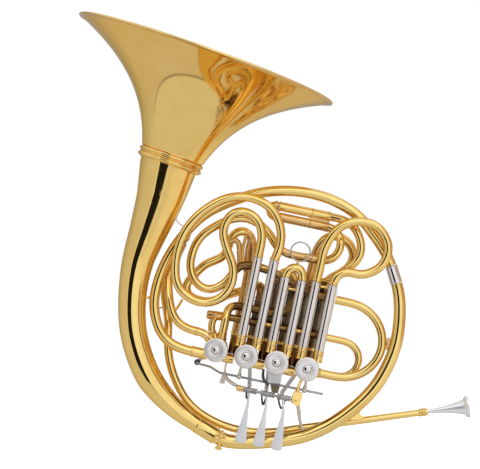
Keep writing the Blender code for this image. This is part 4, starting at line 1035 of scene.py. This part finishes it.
def make_fixed_tubes():
    """The long tubes that run behind the slides and round the right of the valves."""
    upper, lower = TUNING_UPS
    shape = Shape()
    down = rows((TUNING_RIGHT + GAP, lower, TUNING_LAYER), (TUNING_RIGHT + 4, lower, TUNING_LAYER),
                (55.5, 162.5, 10.5), (60.5, 157, 6), (63.6, 149, MID_LAYER))
    curl = row_line(((63, 140), (58.5, 131), (51, 126.5), (34, 125), (0, 126), (-10, 132),
                     (-22, 145), (-38, 153.5), (-52, 155.3), (-66, 151.5), (-83, 139.5),
                     (-94, 128.5), (-101, 115.5), (-103.5, 99), (-102, 86), (-96, 74.5),
                     (-86.5, 67), (-76.5, 65.5), (-65, 71), (-57, 80), (-51.5, 92),
                     (-45, 100.5), (-34, 103), (-10, 101), (20, 92), (40, 86), (60, 84),
                     (71, 84)), MID_LAYER)
    curve(shape, down + curl, TUBE_RADIUS, "brass", sides=32)
    band(shape, row(30, 125.05, MID_LAYER), ALONG, TUBE_RADIUS, 9.0, "brass")
    band(shape, row(69, 84, MID_LAYER), ALONG, TUBE_RADIUS, 3.2, "brass")
    # painted shade where the loop runs behind the slides: near-black low down, a darker brass
    # higher up
    darkened(shape, -50.0, 66.0, 110.0)
    darkened(shape, -12.0, 54.0, 132.0, "rose_brass", 112.0)
    # the stays that stand behind the first slide's inner bend; two are in the darker brass, as
    # painted shade
    hook = rows((-66, 122, 14), (-60, 128.5, 14), (-53.5, 128, 14), (-50.5, 118, 14),
                (-47.5, 106, 14), (-45.5, 98, 13))
    curve(shape, hook, 3.3, "rose_brass", sides=20)
    curve(shape, rows((-46, 136, 14), (-46.9, 118.4, 14), (-42.9, 104.9, 13), (-38.6, 94, 12)),
          2.0, "brass", sides=16)
    curve(shape, rows((-40.5, 135, 16), (-41.6, 119.6, 15), (-39, 106, 15), (-36.4, 96, 14)), 2.6,
          "rose_brass", sides=16)
    piece(shape, "horn", "f_loop")

    shape = Shape()
    points = [row(71 + GAP, 84, MID_LAYER)] + ellipse_run((88.5, 40.4), 46.0, 43.6, MID_LAYER)
    points += [row(valve_along(3) + PORT_REACH + GAP, PORT_UP, MID_LAYER)]
    curve(shape, points, 4.9, "brass", sides=32)
    brace(shape, flat(94.2, 104.0), flat(100.7, 104.0), 1.4, "brass", foot=1.6)
    # painted shade: the plate by the bow is a darker brass
    slab(shape, [(138.2, 53.0), (142.6, 53.8), (143.9, 44.7), (143.2, 33.8), (139.0, 43.7)], -0.5,
         3.0, "rose_brass")
    piece(shape, "horn", "f_bow")

    shape = Shape()
    start = rows((TUNING_RIGHT + GAP, upper, TUNING_LAYER),
                 (TUNING_RIGHT + 4, upper, TUNING_LAYER), (60, 177, 9.5), (70, 174, 5))
    bend = row_line(((78.5, 167), (86, 154.5), (88, 140.5), (83, 129), (75.5, 120.5)), MID_LAYER)
    level = [row(63, 107, 7)]
    level += row_line(((49, 98.6), (36, 92), (26, 78), (20, 62), (8, 54), (-10, 53.5),
                       (-40, 53.5)), BACK_RUN)
    drop = rows((-46, 52, 11), (-49.2, 47.5, 8), (-49.7, 42, 4), (-49.7, 32, MID_LAYER),
                (-49.7, 15.0 + GAP, MID_LAYER))
    curve(shape, start + bend + level + drop, TUBE_RADIUS, "brass", sides=32)
    band(shape, row(-49.7, 18.0, MID_LAYER), UP, TUBE_RADIUS, 3.4, "brass")
    # painted shade: near-black where the tube runs behind the slides
    darkened(shape, -44.0, 58.0, 102.0)
    piece(shape, "horn", "f_return")

    shape = Shape()
    elbow = row_line(((-62.7, 18.4), (-64.6, 27), (-64.0, 34.0), (-60.0, 37.6), (-53, 38.2),
                      (-30, 38.5), (70, 38.5)), BACK_RUN)
    bow = ellipse_run((91.5, 17.6), 21.0, 20.8, BACK_RUN)
    end = [row(valve_along(3) + PORT_REACH + GAP, PORT_UP, BACK_RUN)]
    curve(shape, elbow + bow + end, NARROW_RADIUS, "brass", sides=28)
    # painted shade: near-black where the loop runs behind the slides, and the thick rod by its
    # elbow a darker brass
    darkened(shape, -46.0, 66.0, 60.0)
    rod(shape, row(-72.4, 36.4, BACK_RUN), row(-52.5, 38.0, BACK_RUN), 5.1, "rose_brass", 32, 3.2)
    piece(shape, "horn", "b_flat_loop")


# Keys ---------------------------------------------------------------------------------------

KEY_UP = -37.0
KEY_DEPTH = -30.0
KEY_ALONG = (-6.0, 14.5, 33.5)
SPATULA_ALONG = (-5.0, 16.0, 37.0)
SPATULA_LENGTH = 58.0
SPATULA_WIDENING = 13.0 / 12.6
ARM_BACK = 41.4
LINK_DEPTH = 42.2


def make_blade(shape, columns, levels, front, back):
    """A touch plate lofted through its levels. front and back give a level's places on the two
    sides, for t from -1 at one edge to 1 at the other."""
    span = [-1 + 2 * k / (columns - 1) for k in range(columns)]
    points = []
    for level in levels:
        points += [tuple(row(*front(t, *level))) for t in span]
        points += [tuple(row(*back(t, *level))) for t in span[::-1]]
    shape.add(points, capped_faces(len(levels), 2 * columns), "key_silver")


def make_spatula(shape, index):
    """The touch plate: a narrow stem widening down to a rounded end, bowed and crowned."""
    start, end = KEY_ALONG[index], SPATULA_ALONG[index]

    def place(t, fraction, half, bulge, behind, crown):
        half *= SPATULA_WIDENING
        centre = start + (end - start) * min(1.0, fraction * 4)
        depth = KEY_DEPTH - 1.1 + bulge + behind + crown * t * t + 0.07 * half * t
        return centre + half * t, KEY_UP - 2.4 - SPATULA_LENGTH * fraction, depth

    levels = [(0.0, 1.6, 0.0), (0.05, 1.45, -0.3), (0.12, 1.4, -0.8), (0.22, 1.65, -1.8),
              (0.35, 2.3, -3.0), (0.5, 3.3, -4.4), (0.65, 4.4, -5.6), (0.8, 5.5, -6.5),
              (0.9, 6.2, -7.0), (0.95, 6.15, -7.15), (0.975, 5.5, -7.2), (0.99, 4.3, -7.2),
              (1.0, 2.4, -7.2)]
    make_blade(shape, 9, levels, lambda t, *level: place(t, *level, 0.0, 0.12),
               lambda t, *level: place(t, *level, 2.0, -0.2))


def make_key(index):
    """A finger key: its sleeve on the shaft, its touch plate and its arm back to the link."""
    number = index + 1
    a = KEY_ALONG[index]
    shape = Shape()
    r = 3.4
    profile = [(1.9, -7.5), (r, -7.5), (r, -5.6), (r - 0.6, -5.2), (r - 0.6, -4.2), (r, -3.8),
               (r, -2.4), (r - 0.5, -2.0), (r - 0.5, 3.0), (r, 3.4), (r, 5.0), (r - 0.6, 5.4),
               (r - 0.6, 6.2), (r, 6.6), (r, 8.5), (1.9, 8.5)]
    turned(shape, profile, row(a, KEY_UP, KEY_DEPTH), ALONG, "steel", 28,
           fillet=0.2)
    make_spatula(shape, index)
    arm = rows((a, KEY_UP - 0.5, KEY_DEPTH + 1.5), (a, KEY_UP - 0.5, 0.0), (a, KEY_UP, ARM_BACK))
    curve(shape, arm, 1.5, "key_silver", sides=14)
    ball(shape, row(a, KEY_UP, ARM_BACK - 1.4), 2.1, "nickel")
    rod(shape, row(a, KEY_UP, ARM_BACK - 1), row(a, KEY_UP, LINK_DEPTH + 2.4), 1.1, "steel")
    screw(shape, row(a, KEY_UP, LINK_DEPTH + 2.0), Y, 1.9, "steel", 0.7)
    piece(shape, f"key_{number}", f"finger_key_{number}")


def make_link(node, body, foot, head):
    """A flat link with an eye at its foot and a screwed ball joint at its head."""
    shape = Shape()
    slab(shape, bar_outline(foot, head, 2.3, 2.3), LINK_DEPTH, 1.6, "key_silver", bevel=0.25)
    for place in (foot, head):
        turned(shape, [(1.45, -0.0), (2.6, 0.0), (2.6, 0.5), (1.45, 0.5)],
               row(*place, LINK_DEPTH + 1.5), Y, "nickel", 24, fillet=0.15)
    screw(shape, row(*head, LINK_DEPTH + 1.6), Y, 1.5, "steel", 0.7)
    piece(shape, body, node)


def make_key_mounting():
    """The fixed shaft of the finger keys with its two posts, and the finger hook."""
    left, right = -21.0, 50.0
    shape = Shape()
    rod(shape, row(left, KEY_UP, KEY_DEPTH), row(right, KEY_UP, KEY_DEPTH), 1.6, "steel", 20)
    screw(shape, row(left - 0.1, KEY_UP, KEY_DEPTH), -ALONG, 1.5, "steel", 0.6)
    make_return_springs(shape)
    slab(shape, [(8.6, -11.6), (26.8, -12.0), (27.2, -23.8), (12.6, -25.2), (12.0, -20.0)], -16.0,
         1.6, "key_silver")
    curve(shape, rows((5.0, -11.0, -15), (5.2, -19.0, -18), (8.6, -24.6, -22), (14.0, -27.0, -24)),
          [1.3, 1.7, 1.7, 1.3], "rubber", sides=12)
    # painted shade: the plate by the shaft is dark nickel
    slab(shape, [(15.6, -25.6), (27.2, -25.6), (26.2, -34.2), (19.2, -34.2)], -24.0, 3.0,
         "old_nickel")
    piece(shape, "horn", "key_shaft")

    shape = Shape()
    profile = [(1.9, 0.2), (3.1, 0.2), (3.6, 0.7), (3.6, 1.6), (3.1, 2.0), (3.1, 2.7), (3.6, 3.1),
               (3.6, 3.9), (3.1, 4.3), (3.1, 5.0), (3.6, 5.4), (3.6, 6.3), (3.1, 6.8), (1.9, 6.8)]
    turned(shape, profile, row(left, KEY_UP, KEY_DEPTH), ALONG, "brass", 28,
           fillet=0.2)
    stay = rows((left + 2.6, KEY_UP + 1.5, KEY_DEPTH + 2.2), (left - 3, KEY_UP + 2.4, -27),
                (left - 8, -33.0, -24), (left - 16, -28.4, -17), (left - 17.6, -20, -13),
                (left - 18.0, -8.6, -11))
    curve(shape, stay, [1.7, 2.0, 2.0, 1.9, 0.9, 0.9], "leg", sides=14)
    piece(shape, "horn", "key_post_left")

    shape = Shape()
    profile = [(1.9, -7.2), (4.2, -7.2), (4.6, -6.6), (4.6, -5.0), (4.0, -4.6), (4.0, -3.0),
               (4.6, -2.6), (4.6, -0.8), (4.2, -0.3), (1.9, -0.3)]
    turned(shape, profile, row(right, KEY_UP, KEY_DEPTH), ALONG, "brass", 30)
    stay = rows((right - 3.6, KEY_UP + 1, KEY_DEPTH + 1.5), (right - 2.6, -28, -24),
                (right - 1.5, -20, -19), (right, -14.2, -18))
    curve(shape, stay, [2.9, 2.0, 1.5, 1.8], "brass", sides=18)
    slab(shape, [(right - 7.5, KEY_UP + 7), (right - 5, KEY_UP + 10), (right + 2, KEY_UP + 10.5),
                 (right + 4.2, KEY_UP + 8), (right + 3.6, KEY_UP - 5), (right - 1, KEY_UP - 7),
                 (right - 4.5, KEY_UP - 4)], KEY_DEPTH - 4.0, 3.4, "brass", bevel=0.6)
    prong = rows((right + 0.5, KEY_UP - 2, KEY_DEPTH + 0.5), (right + 4.2, -50, -27),
                 (right + 8.2, -61, -20), (right + 13, -70, -11.4))
    curve(shape, prong, [2.6, 2.3, 1.9, 1.4], "leg", sides=20)
    piece(shape, "horn", "finger_hook")


def make_return_springs(shape):
    """The keys' dark flat springs, which hang below the shaft."""
    for start, tip, end in (((-9.4, -39), (-7.4, -50), (-5.2, -40)),
                            ((8.0, -38), (12.6, -53), (13.6, -40)),
                            ((27.6, -39), (34.2, -52.5), (36.4, -39))):
        path = rows((*start, -28.5), (*tip, -27.0), (*end, -25.0))
        curve(shape, path, [1.2, 1.5, 0.7], "rubber", sides=10)


def make_thumb_lever():
    """The thumb key: a long shaft, its touch plate, and the wire back to its link."""
    shape = Shape()
    axis = (THUMB_UP, THUMB_DEPTH)
    rod(shape, row(THUMB_LEFT, *axis), row(THUMB_RIGHT, *axis), 1.3, "steel", 18)
    end = (THUMB_WIRE_END, THUMB_WIRE_UP)
    run = ((THUMB_LEFT + 1.0, *axis), (-49, -24.2, -8.5), (-54, -21.6, -4), (-63, -21.6, 4),
           (-70, -21.8, 12), (*end, 24), (*end, ARM_BACK))
    curve(shape, [row(*step) for step in run], 1.2, "steel", sides=14)
    ball(shape, row(*end, ARM_BACK - 5.4), 3.6, "rubber")
    rod(shape, row(*end, ARM_BACK - 1), row(*end, LINK_DEPTH + 2.4), 1.0, "steel")

    def place(t, fraction, half, below, crown):
        up = THUMB_UP - 0.4 - 13.0 * math.sin(fraction * 1.2)
        depth = THUMB_DEPTH + 1.0 + 34.0 * fraction
        return THUMB_PLATE_ALONG + half * t, up - below + crown * t * t, depth

    levels = ((0.0, 2.0), (0.1, 2.1), (0.25, 2.3), (0.45, 2.6), (0.7, 3.0), (0.85, 3.1),
              (0.93, 2.9), (0.98, 2.3), (1.0, 1.5))
    make_blade(shape, 7, levels, lambda t, *level: place(t, *level, 0.0, -0.3),
               lambda t, *level: place(t, *level, 2.0, 0.2))
    piece(shape, "thumb_key", "thumb_lever")


# Water key ----------------------------------------------------------------------------------

WATER_PLACE = Vector((-92.0, 0.0, -0.4))
WATER_ALONG = Vector((0.974, 0.0, -0.225))
WATER_UP = Vector((0.225, 0.0, 0.974))
WATER_PIVOT = (0.0, -13.2, 3.0)
NIPPLE_TILT = math.radians(20)
NIPPLE_AXIS = WATER_UP * -math.cos(NIPPLE_TILT) - Y * math.sin(NIPPLE_TILT)
NIPPLE_LENGTH = 11.2


def water_point(along, depth, up):
    """A place by the water key, on the body tube's own directions."""
    return WATER_PLACE + WATER_ALONG * along + WATER_UP * up + Y * depth


def water_key_seat(shape):
    """The nipple on the body tube and the two posts that carry the water key."""
    turned(shape, [(TINY, 5.0), (4.6, 6.8), (3.4, 8.4), (3.0, 9.0), (3.0, 9.8),
                   (2.3, NIPPLE_LENGTH), (TINY, NIPPLE_LENGTH)], WATER_PLACE, NIPPLE_AXIS,
           "brass", 28)
    for side in (-4.2, 4.2):
        start, end = water_point(side, -6.0, 1.4), water_point(side, -12.2, 2.9)
        brace(shape, start, end, 1.2, "brass", foot=1.4)
        ball(shape, water_point(side, -13.0, 3.0), 1.7, "brass", WATER_ALONG)


def make_water_key():
    shape = Shape()
    hub = [(1.9, -2.5), (2.1, -2.2), (2.1, 2.2), (1.9, 2.5)]
    turned(shape, solid(hub), water_point(*WATER_PIVOT), WATER_ALONG, "brass", 24)
    cup = [(TINY, 0.3), (3.4, 0.3), (3.5, 0.9), (4.3, 1.0), (4.45, 1.6), (4.2, 2.6), (3.0, 3.6),
           (TINY, 3.9)]
    base = WATER_PLACE + NIPPLE_AXIS * NIPPLE_LENGTH
    turned(shape, cup, base, NIPPLE_AXIS, "brass", 32)
    turned(shape, [(TINY, 0.25), (3.1, 0.25), (3.1, 0.9), (TINY, 0.9)], base, NIPPLE_AXIS, "cork",
           24)
    arm = [water_point(*WATER_PIVOT), water_point(0, -11.8, -6), water_point(0, -7.2, -12.6)]
    curve(shape, arm, 1.3, "brass", sides=14)
    touch = [water_point(*WATER_PIVOT), water_point(0, -14.6, 6), water_point(0, -14.2, 10)]
    curve(shape, touch, [1.5, 2.6, 2.2], "brass", sides=18)
    piece(shape, "spit_key", "water_key")


# Studio -------------------------------------------------------------------------------------

FLOOR_PLACE = (-0.03, 0.1, -0.062)
FLOOR_REACH = 1.3
LAMP_PLACE = (0.0, 0.35, 1.9)
LAMP_SIZE = 3.2
LAMP_POWER = 60


def link_object(name, data, place):
    made = bpy.data.objects.new(name, data)
    bpy.context.scene.collection.objects.link(made)
    made.location = place
    return made


def make_floor():
    """A pale floor under the horn, lit evenly from above and left out of the reflections."""
    bm = bmesh.new()
    bmesh.ops.create_grid(bm, x_segments=8, y_segments=8, size=FLOOR_REACH)
    mesh = bpy.data.meshes.new("floor")
    bm.to_mesh(mesh)
    bm.free()
    floor = link_object("floor", mesh, FLOOR_PLACE)
    paper, tree, shader = new_material("paper")
    fill(tree, shader, {"Base Color": (0.95, 0.95, 0.95, 1), "Roughness": 0.9,
                        "Specular IOR Level": 0.1})
    mesh.materials.append(paper)
    floor.visible_glossy = False


# How bright the studio is round the horn, by direction: (fraction, brightness or colour) stops.
# Azimuth runs from -180 degrees at 0 to +180 at 1, with the camera at 0.5 and the viewer's right
# above it.
AZIMUTH_STOPS = ((0.0, 0.42), (0.08, 0.44), (0.16, 0.55), (0.26, 0.68), (0.36, 0.70), (0.388, 0.70),
                 (0.393, 1.0), (0.40, 1.0), (0.49, (1.0, 1.05, 1.12)), (0.60, (1.0, 1.04, 1.10)),
                 (0.64, (0.98, 0.96, 0.94)), (0.69, (0.70, 0.55, 0.40)), (0.78, (0.58, 0.40, 0.25)),
                 (0.90, (0.50, 0.40, 0.32)), (1.0, 0.42))
# Height runs from straight down at 0 to straight up at 1.
HEIGHT_STOPS = ((0.0, 0.9), (0.36, 1.0), (0.50, 1.0), (0.60, 0.96), (0.72, 1.05), (0.80, 1.42),
                (0.93, 1.5), (1.0, 0.9))
# The floor as the metal reflects it: its near, far and right parts, and a cloth in warm streaks.
FLOOR_NEAR = (0.71, 0.71, 0.71, 1.0)
FLOOR_FAR = (0.64, 0.61, 0.59, 1.0)
FLOOR_RIGHT = (0.86, 0.85, 0.82, 1.0)
CLOTH_STOPS = ((0.0, (0.6, 0.28, 0.08)), (0.38, (0.6, 0.28, 0.08)), (0.46, (1.3, 0.86, 0.34)),
               (0.54, (1.1, 0.68, 0.22)), (0.62, (1.6, 1.2, 0.6)), (1.0, (1.3, 0.86, 0.34)))
# Distances over the floor are shares of the distance down to it.
FLOOR_EDGE = 0.3              # how far back the near floor ends
EDGE_SHADE = 0.6              # how dark the line along that edge is
CLOTH_SIDE = (-0.04, 0.6, 0.06)
CLOTH_REACH = (0.8, 1.38, 0.07)
TENT_STRENGTH = 4.0           # makes up for the halves that its two ramps hold
# Dark gaps in the tent: low, high and softness, in azimuth and then in height.
GAPS = (((0.400, 0.4925, 0.002), (0.354, 0.711, 0.012)),
        ((0.655, 0.672, 0.004), (0.40, 0.80, 0.02)))
GAP_SHADE = 0.985


def ramp(tree, value, stops, interpolation='EASE'):
    """Colour by value. The ramp holds half of each stop's level."""
    made = add_node(tree, "ValToRGB", {"Fac": value})
    made.color_ramp.interpolation = interpolation
    points = made.color_ramp.elements
    while len(points) < len(stops):
        points.new(0.5)
    for point, (place, _) in zip(points, stops):
        point.position = place
    for point, (_, level) in zip(points, stops):
        shade = level if isinstance(level, tuple) else (level, level, level)
        point.color = (*[part / 2 for part in shade], 1)
    return made.outputs["Color"]


def calculate(tree, operation, *values):
    return add_node(tree, "Math", dict(enumerate(values)), operation=operation).outputs["Value"]


def step_between(tree, value, low, high):
    return narrowed(tree, value, low, high, interpolation_type='SMOOTHSTEP')


def window(tree, value, low, high, soft):
    """1 between low and high, and 0 outside them."""
    rise = step_between(tree, value, low - soft, low + soft)
    fall = step_between(tree, value, high + soft, high - soft)
    return calculate(tree, 'MULTIPLY', rise, fall)


def spot(tree, first, first_window, second, second_window):
    """1 where both values are inside their windows."""
    return calculate(tree, 'MULTIPLY', window(tree, first, *first_window),
                     window(tree, second, *second_window))


def tent_colour(tree, azimuth, height, level):
    """The tent's light by direction. Near straight up or down the azimuth matters less."""
    around = socket_mix(tree, ramp(tree, azimuth, AZIMUTH_STOPS), (0.32, 0.32, 0.32, 1),
                        step_between(tree, level, 0.55, 0.98))
    light = add_node(tree, "VectorMath", {0: around, 1: ramp(tree, height, HEIGHT_STOPS)},
                     operation='MULTIPLY').outputs["Vector"]
    return add_node(tree, "VectorMath", {0: light, "Scale": TENT_STRENGTH},
                    operation='SCALE').outputs["Vector"]


def floor_colour(tree, side, reach):
    """The floor by place: near and far parts, brighter on the right, with the cloth behind."""
    far = step_between(tree, reach, FLOOR_EDGE - 0.01, FLOOR_EDGE + 0.01)
    ground = socket_mix(tree, FLOOR_NEAR, FLOOR_FAR, far)
    ground = socket_mix(tree, ground, FLOOR_RIGHT, step_between(tree, side, 0.6, 1.4))
    across = add_node(tree, "CombineXYZ", {"X": side, "Y": reach}).outputs["Vector"]
    streaks = add_node(tree, "TexNoise", {"Vector": across, "Scale": 9.0, "Detail": 1.0,
                                          "Distortion": 1.5}).outputs["Fac"]
    cloth = ramp(tree, streaks, CLOTH_STOPS, 'LINEAR')
    return socket_mix(tree, ground, cloth, spot(tree, side, CLOTH_SIDE, reach, CLOTH_REACH))


def make_light():
    """The studio that the metal reflects: a white tent over a pale floor, bright in front and
    above and dim behind, with dark gaps beside the camera. The camera itself sees plain white."""
    scene = bpy.context.scene
    scene.view_settings.view_transform = 'Standard'
    world = bpy.data.worlds.new("studio")
    world.use_nodes = True
    scene.world = world
    tree = world.node_tree
    direction = add_node(tree, "TexCoord").outputs["Generated"]
    x, y, z = add_node(tree, "SeparateXYZ", {"Vector": direction}).outputs[:3]
    azimuth = calculate(tree, 'ARCTAN2', x, calculate(tree, 'MULTIPLY', y, -1.0))
    azimuth = calculate(tree, 'MULTIPLY_ADD', azimuth, 1 / (2 * math.pi), 0.5)
    height = calculate(tree, 'MULTIPLY_ADD', z, 0.5, 0.5)
    down = calculate(tree, 'MULTIPLY', z, -1.0)
    drop = calculate(tree, 'MAXIMUM', down, 0.01)
    reach = calculate(tree, 'DIVIDE', y, drop)
    side = calculate(tree, 'DIVIDE', x, drop)
    below = step_between(tree, down, 0.12, 0.40)
    colour = socket_mix(tree, tent_colour(tree, azimuth, height, calculate(tree, 'ABSOLUTE', z)),
                        floor_colour(tree, side, reach), below)

    line = window(tree, reach, FLOOR_EDGE - 0.02, FLOOR_EDGE + 0.02, 0.02)
    line = calculate(tree, 'MULTIPLY', calculate(tree, 'MULTIPLY', line, below), EDGE_SHADE)
    gaps = [spot(tree, azimuth, wide, height, tall) for wide, tall in GAPS]
    dark = calculate(tree, 'MULTIPLY', calculate(tree, 'MAXIMUM', *gaps), GAP_SHADE)
    dark = calculate(tree, 'MAXIMUM', dark, line)

    shine = tree.nodes["Background"]
    fill(tree, shine, {"Color": colour, "Strength": calculate(tree, 'SUBTRACT', 1.0, dark)})
    paper = add_node(tree, "Background", {"Color": (1, 1, 1, 1)})
    seen = add_node(tree, "MixShader", {
        "Fac": add_node(tree, "LightPath").outputs["Is Camera Ray"],
        1: shine.outputs["Background"], 2: paper.outputs["Background"]})
    fill(tree, tree.nodes["World Output"], {"Surface": seen.outputs["Shader"]})

    lamp = bpy.data.lights.new("floor_light", 'AREA')
    lamp.shape = 'RECTANGLE'
    lamp.size = lamp.size_y = LAMP_SIZE
    lamp.energy = LAMP_POWER
    link_object("floor_light", lamp, LAMP_PLACE).visible_glossy = False


CAMERA_PLACE = (-0.0696, -2.3, 0.2349)
CAMERA_LENS = 148.7


def make_camera():
    """The viewer: straight in front of the horn, level, and far away."""
    data = bpy.data.cameras.new("camera")
    data.sensor_width = 36.0
    data.lens = CAMERA_LENS
    made = link_object("camera", data, CAMERA_PLACE)
    made.rotation_euler = (math.pi / 2, 0, 0)
    bpy.context.scene.camera = made


def main():
    make_bell()
    make_body_tubes()
    make_mouthpipe()
    make_main_slide()
    for index in range(4):
        make_valve(index)
        make_stop_arm(index)
    for index in (1, 2, 3):
        make_valve_slide(index, back=False)
        make_valve_slide(index, back=True)
    make_f_tuning_slide()
    make_fixed_tubes()
    for index in range(3):
        make_key(index)
        make_link(f"key_link_{index + 1}", f"link_{index + 1}", (KEY_ALONG[index], KEY_UP),
                  stop_pin(index + 1))
    make_link("thumb_link", "thumb_rod_link", (THUMB_WIRE_END, THUMB_WIRE_UP), stop_pin(0))
    make_key_mounting()
    make_thumb_lever()
    make_water_key()
    make_floor()
    make_light()
    make_camera()


main()
